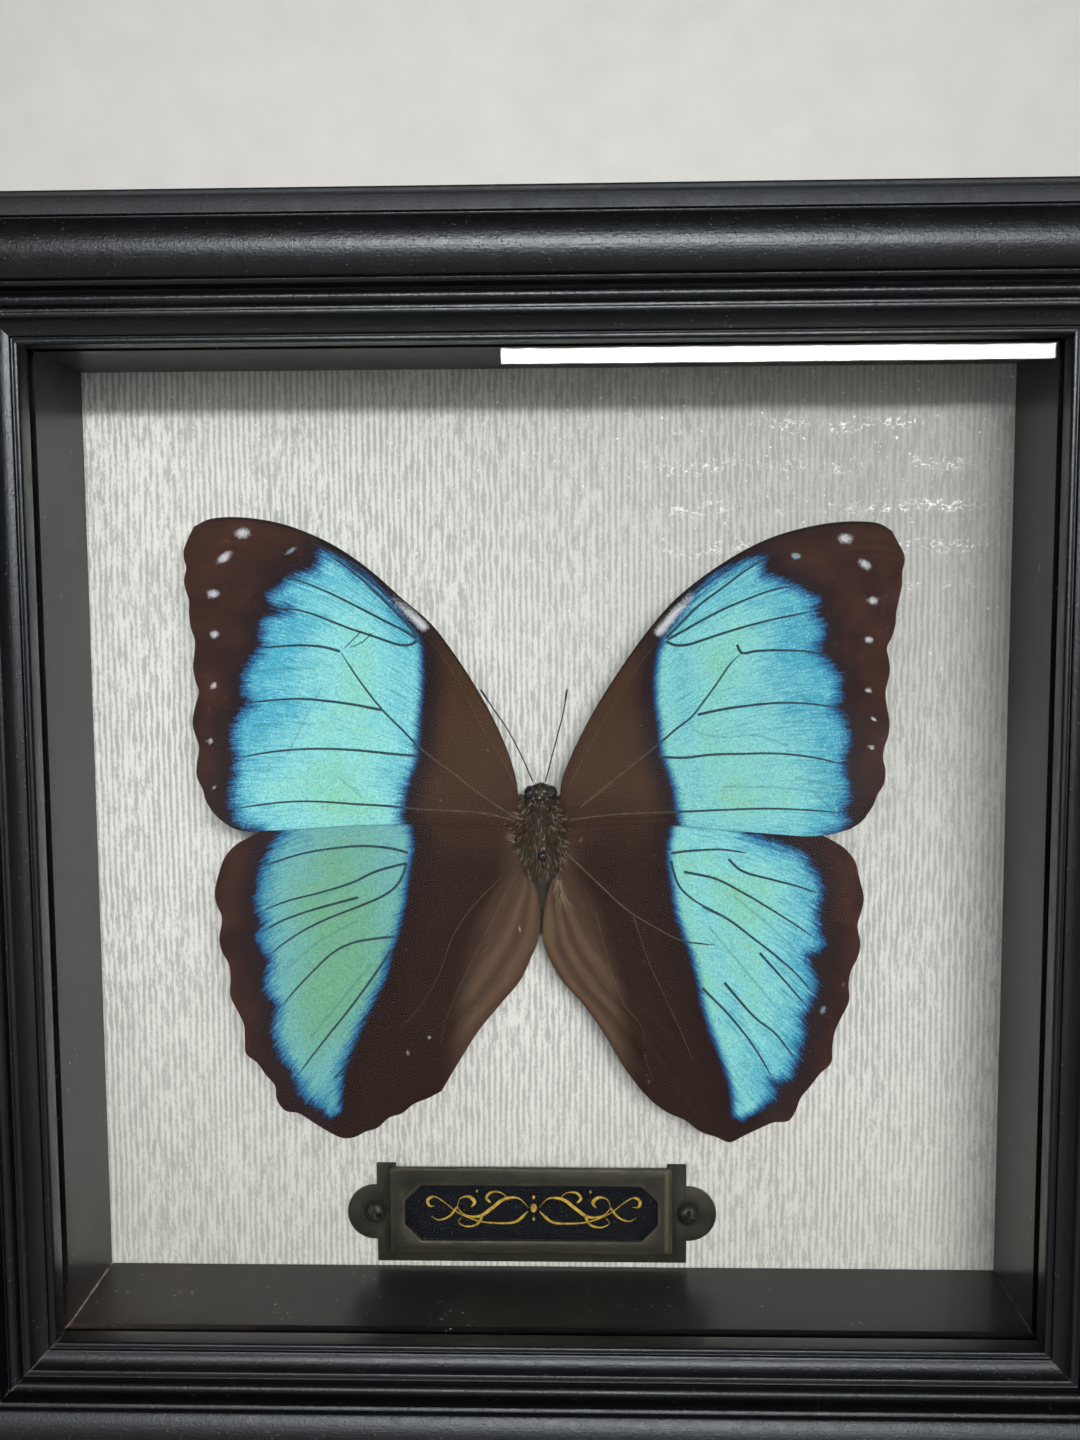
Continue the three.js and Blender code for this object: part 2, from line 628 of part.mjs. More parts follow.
function addLabel(group) {
  const brass = finish(0x4d4a3a, 0.45, 0.8);
  group.add(named('label_holder', holderGeometry(), brass));
  group.add(named('label_card', cardGeometry(), finish(0x14151d, 0.7)));
  const [left, right] = earMiddles();
  group.add(named('label_screw_left', screwGeometry(left), brass));
  group.add(named('label_screw_right', screwGeometry(right), brass));
}

function addBox(group) {
  const lacquer = finish(0x141312, 0.4);
  const glassHalf = HALF + REBATE - FIT;
  addSquareOf(group, 'frame_rail', railGeometry, lacquer);
  addSquareOf(group, 'box_wall', () => mitredMember(wallSection()), finish(0x2a2a29, 0.85));
  group.add(named('glass_pane', squareSheet(glassHalf, 0, GLASS_THICKNESS), finish(0xdfe8e6, 0.05)));
  group.add(named('backing_board', backingGeometry(), finish(0xdcd8d0, 0.9)));
  group.add(named('back_panel', squareSheet(glassHalf, PANEL_FRONT, PANEL_BACK), finish(0x7a5a3c, 0.85)));
}

const specimenFrame = new THREE.Group();
addBox(specimenFrame);
addTabs(specimenFrame);
addHanger(specimenFrame);
addLabel(specimenFrame);
addButterfly(specimenFrame);

// The origin is the middle of the bottom edge.
const CROWN_TOP = 9.3;
const backReach = HANGER_FRONT + HANGER.thickness + NAIL.headHeight;
specimenFrame.position.set(0, (CROWN_TOP - backReach) / 2, OUTER);

export default specimenFrame;
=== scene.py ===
"""Looks of the framed butterfly specimen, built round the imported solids."""
import math
from collections import defaultdict

import bmesh
import bpy
import numpy as np
from mathutils import Matrix, Vector


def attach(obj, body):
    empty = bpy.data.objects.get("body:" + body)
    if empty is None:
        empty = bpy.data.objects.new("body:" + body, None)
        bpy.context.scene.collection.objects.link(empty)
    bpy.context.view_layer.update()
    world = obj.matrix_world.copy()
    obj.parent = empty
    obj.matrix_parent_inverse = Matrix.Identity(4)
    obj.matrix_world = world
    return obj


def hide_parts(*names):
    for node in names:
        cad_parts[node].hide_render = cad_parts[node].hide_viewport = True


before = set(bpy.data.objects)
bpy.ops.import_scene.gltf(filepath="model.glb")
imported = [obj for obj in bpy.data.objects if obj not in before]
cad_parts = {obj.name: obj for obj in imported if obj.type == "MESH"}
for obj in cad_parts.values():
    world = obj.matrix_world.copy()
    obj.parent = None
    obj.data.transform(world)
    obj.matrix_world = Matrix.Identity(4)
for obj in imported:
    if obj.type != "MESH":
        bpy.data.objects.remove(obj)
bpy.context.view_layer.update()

# ---- places
# Lengths below are millimetres. x and z run from the middle of the sight opening, depth runs back
# from the outer face of the glass, and lift runs forwards from the backing paper.
MM = 0.001
OPENING = np.array([0.0, -10.15, 96.0])  # the opening's middle in the part's frame
HALF = 75.0  # half the width of the opening
BOX_DEPTH = 22.2  # glass to backing paper
SIDES = ["top", "right", "bottom", "left"]
random = np.random.default_rng(7)


def pts(text):
    """'x,z x,z ...' as an array."""
    return np.array([[float(v) for v in pair.split(",")] for pair in text.split()])


def part_frame(points):
    """[x, depth, z] in millimetres, from the opening, as metres in the part's frame."""
    return (np.asarray(points, float) + OPENING) * MM


def on_lift(flat, lift):
    """Flat points (x, z) as [x, depth, z] on a lift, or each on its own."""
    return np.c_[flat[:, 0], BOX_DEPTH - np.broadcast_to(lift, len(flat)), flat[:, 1]]


def smoothstep(low, high, v):
    t = np.clip((v - low) / (high - low), 0, 1)
    return t * t * (3 - 2 * t)


def catmull(points, steps=12):
    """A centripetal spline through the points, with as many samples in each span."""
    p = np.vstack([2 * points[0] - points[1], points, 2 * points[-1] - points[-2]])
    out = []
    for i in range(len(points) - 1):
        p0, p1, p2, p3 = p[i:i + 4]
        d0, d1, d2 = (max(np.linalg.norm(b - a), 1e-6) ** 0.5 for a, b in ((p0, p1), (p1, p2), (p2, p3)))
        m1 = ((p1 - p0) / d0 - (p2 - p0) / (d0 + d1) + (p2 - p1) / d1) * d1
        m2 = ((p2 - p1) / d1 - (p3 - p1) / (d1 + d2) + (p3 - p2) / d2) * d1
        t = np.linspace(0, 1, steps, endpoint=False)[:, None]
        out.append((2 * t**3 - 3 * t**2 + 1) * p1 + (t**3 - 2 * t**2 + t) * m1
                   + (3 * t**2 - 2 * t**3) * p2 + (t**3 - t**2) * m2)
    return np.vstack(out + [points[-1:]])


def even(path, count):
    """The path resampled at even steps of its length."""
    length = np.r_[0, np.cumsum(np.linalg.norm(np.diff(path, axis=0), axis=1))]
    at = np.linspace(0, length[-1], count)
    return np.stack([np.interp(at, length, path[:, k]) for k in range(path.shape[1])], 1)


def edge_distance(p, a, b):
    """Distance of each point p from the nearest of the segments a to b."""
    best = np.full(len(p), 1e9)
    for s, e in zip(a, b):
        d = e - s
        t = np.clip(((p - s) @ d) / max(d @ d, 1e-9), 0, 1)
        best = np.minimum(best, np.linalg.norm(p - s - t[:, None] * d, axis=1))
    return best


def inside_distance(p, polygon):
    """Distance from a polygon's edge, positive inside it."""
    a, b = polygon, np.roll(polygon, -1, axis=0)
    odd = np.zeros(len(p), bool)
    for s, e in zip(a, b):
        crosses = (s[1] > p[:, 1]) != (e[1] > p[:, 1])
        rise = e[1] - s[1] if e[1] != s[1] else 1e-9
        odd ^= crosses & (p[:, 0] < (e[0] - s[0]) * (p[:, 1] - s[1]) / rise + s[0])
    return edge_distance(p, a, b) * np.where(odd, 1, -1)


# ---- meshes
class Soup:
    """Vertices [x, depth, z] and faces of one piece, gathered from several forms."""

    def __init__(self):
        self.verts, self.faces, self.slots, self.uv = [], [], [], []
        self.count = 0

    def add(self, verts, faces, slot=0, uv=None):
        verts = np.asarray(verts, float)
        self.verts.append(verts)
        self.uv.append(np.zeros((len(verts), 2)) if uv is None else uv)
        self.faces += [[i + self.count for i in f] for f in faces]
        self.slots += [slot] * len(faces)
        self.count += len(verts)

    def points(self):
        return np.vstack(self.verts)

    def piece(self, name, materials, node, attributes=None, sharp=40):
        mesh = bpy.data.meshes.new(name)
        mesh.from_pydata(part_frame(self.points()).tolist(), [], self.faces)
        for m in materials:
            mesh.materials.append(m)
        mesh.polygons.foreach_set("material_index", self.slots)
        uv = np.vstack(self.uv)
        if uv.any():
            layer = mesh.uv_layers.new(name="grain")
            loops = np.empty(len(mesh.loops), int)
            mesh.loops.foreach_get("vertex_index", loops)
            layer.data.foreach_set("uv", uv[loops].astype(np.float32).ravel())
        for key, values in (attributes or {}).items():
            layer = mesh.attributes.new(key, "FLOAT", "POINT")
            layer.data.foreach_set("value", np.asarray(values, np.float32))
        bm = bmesh.new()
        bm.from_mesh(mesh)
        settle(mesh, bm, node, sharp)


def placed(name, data):
    """A new object in the scene."""
    obj = bpy.data.objects.new(name, data)
    bpy.context.scene.collection.objects.link(obj)
    return obj


def settle(mesh, bm, node, sharp):
    """A smooth piece with creases at its sharp edges. It may stand in for a CAD node."""
    bmesh.ops.recalc_face_normals(bm, faces=bm.faces)
    bm.to_mesh(mesh)
    bm.free()
    mesh.shade_smooth()
    mesh.set_sharp_from_angle(angle=math.radians(sharp))
    obj = placed(mesh.name, mesh)
    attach(obj, "root")
    if node:
        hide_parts(node)


def ring_faces(rings, sides, caps=True):
    """Quads between successive rings of as many vertices, with a face over each end."""
    faces = []
    for r in range(rings - 1):
        for s in range(sides):
            n = (s + 1) % sides
            faces.append([r * sides + s, r * sides + n, (r + 1) * sides + n, (r + 1) * sides + s])
    if caps:
        faces += [list(range(sides)), [(rings - 1) * sides + s for s in range(sides)]]
    return faces


def globe_faces(rings, sides):
    """Faces of a round form whose two poles are the vertices after its rings."""
    faces = ring_faces(rings, sides, caps=False)
    last = (rings - 1) * sides
    for s in range(sides):
        n = (s + 1) % sides
        faces += [[rings * sides, n, s], [rings * sides + 1, last + s, last + n]]
    return faces


def around(sides):
    """Even angles of one full turn."""
    return np.arange(sides) * 2 * np.pi / sides


def tube(path, radius, sides=8, flat=1.0):
    """A tube along [x, depth, z] points. flat squeezes it front to back."""
    radius = np.broadcast_to(radius, len(path))
    tangent = np.gradient(path, axis=0)
    tangent /= np.linalg.norm(tangent, axis=1)[:, None]
    across = np.cross(tangent, [0.05, -1.0, 0.02])
    across /= np.linalg.norm(across, axis=1)[:, None]
    front = np.cross(across, tangent)
    turn = around(sides)
    ring = across[:, None] * np.cos(turn)[None, :, None] + front[:, None] * np.sin(turn)[None, :, None] * flat
    verts = path[:, None] + ring * radius[:, None, None]
    return verts.reshape(-1, 3), ring_faces(len(path), sides)


def turned(profile, x, z, sides=32):
    """A round form about the depth axis. The profile is (radius, lift) pairs between two poles."""
    profile = np.asarray(profile, float)
    turn = around(sides)
    body = profile[1:-1]
    verts = [[x + r * math.cos(t), BOX_DEPTH - lift, z + r * math.sin(t)] for r, lift in body for t in turn]
    verts += [[x, BOX_DEPTH - profile[0][1], z], [x, BOX_DEPTH - profile[-1][1], z]]
    return verts, globe_faces(len(body), sides)


HAIR_POINTS = 7  # vertices of one hair


def hairs(roots, directions, lengths, width, curl):
    """Thin curved spikes with three sides."""
    directions = directions / np.linalg.norm(directions, axis=1)[:, None]
    side = np.cross(directions, [0.3, -1.0, 0.2])
    side /= np.linalg.norm(side, axis=1)[:, None]
    other = np.cross(directions, side)
    rings = []
    for t, share in ((0, 1.0), (0.5, 0.75)):
        centre = roots + directions * (lengths * t)[:, None] + curl * (lengths * t * t)[:, None]
        for k in range(3):
            a = 2 * np.pi * k / 3
            rings.append(centre + (side * math.cos(a) + other * math.sin(a)) * (width * share)[:, None])
    rings.append(roots + directions * lengths[:, None] + curl * lengths[:, None])
    verts = np.stack(rings, 1).reshape(-1, 3)
    pattern = [[0, 1, 2], [0, 1, 4, 3], [1, 2, 5, 4], [2, 0, 3, 5], [3, 4, 6], [4, 5, 6], [5, 3, 6]]
    return verts, [[HAIR_POINTS * i + k for k in f] for i in range(len(roots)) for f in pattern]


# ---- materials
def rgb(r, g, b):
    """A colour given as seen on a screen, 0 to 255, in linear light."""
    return tuple((c / 255 / 12.92) if c / 255 <= 0.04045 else ((c / 255 + 0.055) / 1.055) ** 2.4
                 for c in (r, g, b)) + (1.0,)


def operator(op, flipped=False):
    def call(self, other=0.0):
        return self.look.math(op, other, self) if flipped else self.look.math(op, self, other)
    return call


class Value:
    """An output socket with arithmetic, each step of which adds a Math node."""

    __add__, __sub__, __mul__ = operator("ADD"), operator("SUBTRACT"), operator("MULTIPLY")
    __truediv__, __pow__, __abs__ = operator("DIVIDE"), operator("POWER"), operator("ABSOLUTE")
    __rsub__ = operator("SUBTRACT", flipped=True)

    def __init__(self, look, socket):
        self.look, self.socket = look, socket


class Look:
    """A node material, written as calls that return values."""

    def __init__(self, name):
        self.material = bpy.data.materials.new(name)
        self.material.use_nodes = True
        self.tree = self.material.node_tree
        self.tree.nodes.clear()
        self.out = self.tree.nodes.new("ShaderNodeOutputMaterial")
        self.place = self.node("TexCoord", out="Object")

    def node(self, kind, out=0, props=None, **inputs):
        """A new node. Its inputs are given by name, or as i and their number."""
        n = self.tree.nodes.new("ShaderNode" + kind)
        for key, value in (props or {}).items():
            setattr(n, key, value)
        for key, value in inputs.items():
            numbered = key[0] == "i" and key[1:].isdigit()
            socket = n.inputs[int(key[1:]) if numbered else key.replace("_", " ")]
            if isinstance(value, Value):
                self.tree.links.new(value.socket, socket)
            else:
                socket.default_value = value
        return Value(self, n.outputs[out])

    def math(self, op, a, b=0.0):
        return self.node("Math", props={"operation": op}, i0=a, i1=b)

    def larger(self, a, b):
        return self.math("MAXIMUM", a, b)

    def axis(self, k, at=None):
        """One coordinate, 0 to 2, of the place or of another vector."""
        return self.node("SeparateXYZ", out=k, Vector=at or self.place)

    def grain(self):
        return self.node("UVMap", props={"uv_map": "grain"})

    def mix(self, share, a, b):
        """Between two colours. Each is a value, or red, green and blue as seen on a screen."""
        a, b = (rgb(*c) if isinstance(c, tuple) else c for c in (a, b))
        return self.node("Mix", out=2, props={"data_type": "RGBA"}, i0=share, i6=a, i7=b)

    def paint(self, base, coats):
        """Colours laid over a base. Each is its share, then red, green and blue."""
        for share, *colour in coats:
            base = self.mix(share, base, tuple(colour))
        return base

    def fit(self, value, low=0.3, high=0.7, to_low=0.0, to_high=1.0, smooth=False):
        """The value, clamped and moved from one range to another. Most noise lies in 0.3 to 0.7."""
        kind = {"interpolation_type": "SMOOTHSTEP" if smooth else "LINEAR"}
        return self.node("MapRange", props=kind, i0=value, i1=low, i2=high, i3=to_low, i4=to_high)

    def noise(self, scale, detail=2.0, rough=0.5, stretch=(1, 1, 1), at=None, distort=0.0):
        where = self.node("VectorMath", props={"operation": "MULTIPLY"}, i0=at or self.place,
                          i1=tuple(s * scale for s in stretch))
        return self.node("TexNoise", Vector=where, Scale=1.0, Detail=detail, Roughness=rough,
                         Distortion=distort)

    def value(self, name):
        """A number that the mesh gives at each vertex."""
        return self.node("Attribute", out="Fac", props={"attribute_name": name})

    def bump(self, height, strength, distance):
        return self.node("Bump", Height=height, Strength=strength, Distance=distance)

    def finish(self, shader):
        self.tree.links.new(shader.socket, self.out.inputs["Surface"])
        return self.material

    def surface(self, base, rough, bump=None, **inputs):
        """The material of a colour, a roughness and a bump's height, strength and distance."""
        if bump:
            inputs["Normal"] = self.bump(*bump)
        return self.finish(self.node("BsdfPrincipled", Base_Color=base, Roughness=rough, **inputs))


def lacquer_look():
    """Satin black lacquer: faint brush lines along the rail, orange peel, dust and rubbed arrises."""
    m = Look("satin_black_lacquer")
    grain = m.grain()
    lines = m.noise(1.0, 3, 0.6, (0.05, 3.2, 1), grain)
    peel = m.noise(1.0, 2, 0.5, (1.1, 2.2, 1), grain)
    fine = m.noise(2300, 2, 0.65)
    specks = m.fit(m.noise(2300, 1, 0.5), 0.69, 0.75)
    height = lines * 0.5 + peel * 0.6 + fine * 0.8 + specks * 0.5
    dust = specks * m.fit(m.noise(160, 2), 0.4, 0.7)
    base = m.paint(m.mix(m.fit(m.noise(90, 3)), (7, 8, 11), (13, 14, 18)), [
        (dust * 0.4, 120, 118, 112),
        (worn_mitre(m, 0.2) * 0.75, 150, 140, 126),
    ])
    round_section = m.axis(1, grain)
    lip = m.fit(round_section, 28.8, 29.6) * m.fit(round_section, 36, 35)
    rough = (m.fit(m.noise(420, 3, 0.6), 0.3, 0.7, 0.28, 0.36) + m.fit(m.axis(2), 0.03, 0.014) * 0.08
             + lip * 0.22)
    return m.surface(base, rough, (height, 0.3, 0.00012), Specular_IOR_Level=0.52,
                     Specular_Tint=(0.88, 0.94, 1, 1))


def worn_mitre(m, width):
    """Where the corner joints are rubbed bare, most of all the one at the bottom left."""
    x = m.axis(0)
    z = m.axis(2) - OPENING[2] * MM
    off = abs(abs(x) - abs(z))
    line = m.fit(off + m.fit(m.noise(700, 2), 0.3, 0.7, -0.1 * MM, 0.14 * MM), width * MM, 0.05 * MM)
    low = m.fit(z, 0.01, -0.01)
    share = m.fit(x, 0.01, -0.01) * low + low * 0.25
    return line * share * m.fit(m.noise(260, 3, 0.6), 0.36, 0.5)


def wall_look():
    """Dark satin paint on board. Dust lies along the bottom, brownish towards its left end."""
    m = Look("satin_charcoal_paint")
    x, z = m.axis(0), m.axis(2)
    corner = m.fit(z, 0.034, 0.022) * m.fit(x, -0.035, -0.07, smooth=True)
    grit = m.fit(m.noise(2600, 2, 0.6), 0.6, 0.68) * m.fit(m.noise(210, 2), 0.48, 0.62)
    specks = m.fit(m.noise(1500, 1), 0.71, 0.76) * m.fit(m.noise(120, 2), 0.5, 0.62)
    base = m.paint(m.mix(m.fit(m.noise(70, 4, 0.6)), (9, 10, 12), (14, 15, 17)), [
        (corner * 0.5, 58, 48, 42),
        (grit * m.fit(corner, 0, 1, 0.05, 0.9), 120, 78, 62),
        (specks * 0.7, 170, 168, 160),
        (worn_mitre(m, 0.35), 176, 166, 150),
    ])
    height = m.noise(1800, 3, 0.6) + specks * 0.6
    rough = m.fit(m.noise(300, 2), 0.3, 0.7, 0.28, 0.32) + corner * 0.14
    return m.surface(base, rough, (height, 0.01, 0.0001), Specular_IOR_Level=0.36)


def glass_look():
    """Clear coated glass with a weak reflection. Light passes straight through to what lies behind."""
    m = Look("clear_glass")
    smear = m.noise(22, 4, 0.65, distort=1.5)
    pane = m.node("BsdfPrincipled", Base_Color=(1, 1, 1, 1), Roughness=0.0, IOR=1.2,
                  Transmission_Weight=1.0, Normal=m.bump(smear, 0.0015, 0.0005))
    clear = m.node("BsdfTransparent", Color=(0.97, 0.98, 0.975, 1))
    shadow = m.node("LightPath", out="Is Shadow Ray")
    return m.finish(m.node("MixShader", i0=shadow, i1=pane, i2=clear))


PAPER_PITCH = 0.97  # embossed ridges, side to side
PAPER_CELL = 6.6  # one embossed leaf, top to bottom
FLECK_ROW = 162.0  # height of the topmost row of pearly flecks, whose white is a painted glint, in the part's frame


def paper_look():
    """Off-white embossed paper with pearly flecks. Painted shade: grey valleys, white ridges, darker to the
    upper right and the bottom; the flecks' white is a painted glint.
    """
    m = Look("embossed_paper")
    wander = m.noise(52, 2, 0.5, (1, 0, 0.45))
    step = m.noise(330, 1, 0.5, (1, 0, 0.05))
    calm = m.fit(m.noise(42, 2, 0.5, (1, 0, 0.8)), 0.42, 0.58, 0.12, 1.0, smooth=True)
    x, z = m.axis(0), m.axis(2)
    column = x * (1 / (PAPER_PITCH * MM)) + wander * 1.5
    rows_turn = 2 * math.pi / (PAPER_CELL * MM)
    row = z * rows_turn + step * 24.0
    sway = m.math("SINE", row) * m.math("COSINE", column * math.pi) * (calm * 1.25)
    phase = column * (2 * math.pi) + sway
    ridge = m.fit(m.math("COSINE", phase), -1, 1)
    strokes = m.fit(m.noise(1700, 2, 0.55, (1, 1, 0.2)))
    hatch = m.fit(m.noise(3000, 2, 0.6, (1, 1, 0.5)))
    weight = m.fit(m.noise(70, 2, 0.5, (1, 0, 0.6)), 0.4, 0.62, 0.26, 0.54)
    ridge = ridge * weight + strokes * (0.84 - weight) + hatch * 0.3
    bent = z + m.fit(m.noise(75, 2, 0.6, (1, 0, 0)), 0.3, 0.7, -1.3 * MM, 1.3 * MM)
    phase = (bent - FLECK_ROW * MM) * rows_turn
    rows = m.fit(m.math("COSINE", phase), 0.35, 0.9)
    side = m.fit(x, 0.004, 0.03, smooth=True) * m.fit(x, 0.0725, 0.068)
    high = m.fit(z, 0.128, 0.146, smooth=True) * m.fit(z, 0.1636, 0.1624)
    # Pearly flecks in rows: glossy where they lie, and painted white as glints.
    glint_rows = side * high * rows * m.fit(m.noise(110, 2, 0.6), 0.44, 0.56)
    thread = abs(m.noise(620, 2, 0.6, (1, 1, 1.5)) - 0.5)
    squiggle = m.fit(thread, 0.04, 0.014) * m.fit(m.noise(900, 2, 0.6), 0.44, 0.52)
    stray = m.fit(m.noise(1500, 2, 0.6), 0.67, 0.72) * m.fit(z, 0.1, 0.155, 0.1, 1.0)
    glint_flecks = m.larger(glint_rows * squiggle, stray)
    # Painted shade: the paper is darker towards the upper right.
    painted_shade_upper_right = m.fit(x + (z - OPENING[2] * MM), 0.0, 0.115)
    # Painted shade of the embossing: grey in the valleys, white on the ridges.
    tone = m.fit(ridge, 0.28, 0.8, smooth=True)
    base = m.paint(m.mix(tone, (180, 181, 176), (236, 236, 230)), [
        (m.fit(m.noise(26, 3), 0.35, 0.75, 0, 0.25), 210, 208, 199),
        (painted_shade_upper_right * 0.7, 150, 149, 145),
        # painted shade: darker towards the bottom
        (m.fit(z, 0.085, 0.03, 0, 0.4), 160, 156, 146),
        (glint_flecks, 255, 255, 255),
    ])
    return m.surface(base, m.fit(glint_flecks, 0, 1, 0.75, 0.3), (ridge + glint_flecks * 0.5, 0.4, 0.00016),
                     Specular_IOR_Level=0.2)


def steel_look(name, light, dark):
    """Rolled steel with fine lines, dull patches and a little tarnish."""
    m = Look(name)
    lines = m.noise(260, 3, 0.6, (40, 1, 1))
    patch = m.noise(180, 4, 0.6)
    base = m.mix(m.fit(patch, 0.35, 0.7), light, dark)
    base = m.mix(m.fit(m.noise(620, 3, 0.7), 0.62, 0.72, 0, 0.6), base, (96, 80, 62))
    return m.surface(base, m.fit(patch, 0.3, 0.7, 0.28, 0.45), (lines, 0.15, 0.00006), Metallic=0.95)


HOLDER_LEFT = 2.9  # the holder's middle, left of the opening's
PLATE_DOWN, WINDOW_DOWN, SCREWS_DOWN = 64.4, 64.85, 65.4  # below the opening's middle
PLATE_HALF, WINDOW_HALF = (23.7, 7.3), (21.3, 4.85)  # of the raised plate and of its window
WINDOW_CUT = 23.35  # where the window's corners are cut, across and up together
SCREW_OUT = 26.5  # each screw, from the holder's middle


def brass_look():
    """Brass darkened to olive brown: black patina with painted shade in the corners and round the screws,
    rubbed wear with a painted highlight along the raised edges, and a painted lit strip near the plate's
    right edge.
    """
    m = Look("dark_antique_brass")
    x = m.axis(0) / MM
    z = m.axis(2) / MM - OPENING[2]
    wide = abs(x + HOLDER_LEFT)
    foot = m.larger(wide - PLATE_HALF[0], abs(z + PLATE_DOWN) - PLATE_HALF[1])
    tall = abs(z + WINDOW_DOWN)
    cut = (wide + tall - WINDOW_CUT) * 0.707
    window = m.larger(m.larger(wide - WINDOW_HALF[0], tall - WINDOW_HALF[1]), cut)
    screw = m.math("SQRT", (wide - SCREW_OUT) ** 2.0 + (z + SCREWS_DOWN) ** 2.0)
    patch = m.noise(240, 4, 0.65)
    fine = m.noise(1800, 3, 0.6)
    # Dark patina round the raised plate's foot and round each screw, also painted shade of that recess and of
    # screw dimples the mesh lacks.
    patina_and_painted_shade = m.larger(m.fit(foot, -0.02, 0.1) * m.fit(foot, 1.4, 0.2), m.fit(screw, 3.0, 1.9))
    # Rubbed wear along the raised edges, and a painted highlight along the window's chamfer.
    rim = m.larger(m.fit(foot, -0.6, -0.15) * m.fit(foot, 0.05, 0.0),
                   m.fit(window, 0.65, 0.15) * m.fit(window, -0.1, 0.0))
    rim = rim * m.fit(m.noise(420, 3, 0.65), 0.36, 0.6)
    # Painted highlight: a lit strip along the raised plate's right edge.
    painted_lit_edge = m.fit(abs(x - 19.9), 0.5, 0.2) * m.fit(foot, 0, -0.8)
    base = m.paint(m.mix(m.fit(patch, 0.34, 0.68), (33, 32, 24), (52, 49, 37)), [
        (m.fit(m.noise(900, 3, 0.7), 0.58, 0.7, 0, 0.55), 26, 23, 19),
        (patina_and_painted_shade * 0.85, 12, 11, 9),
        (rim * 0.4, 96, 90, 68),
        (painted_lit_edge * 0.55, 104, 98, 70),
        (m.fit(fine, 0.64, 0.74, 0, 0.35), 104, 96, 72),
    ])
    height = patch * 0.6 + fine * 0.5
    return m.surface(base, m.fit(patch, 0.3, 0.7, 0.42, 0.56), (height, 0.25, 0.0001), Metallic=0.35,
                     Specular_IOR_Level=0.3)


WING_UV = (7, 11)  # where a wing's root and leading edge lie in the grain map


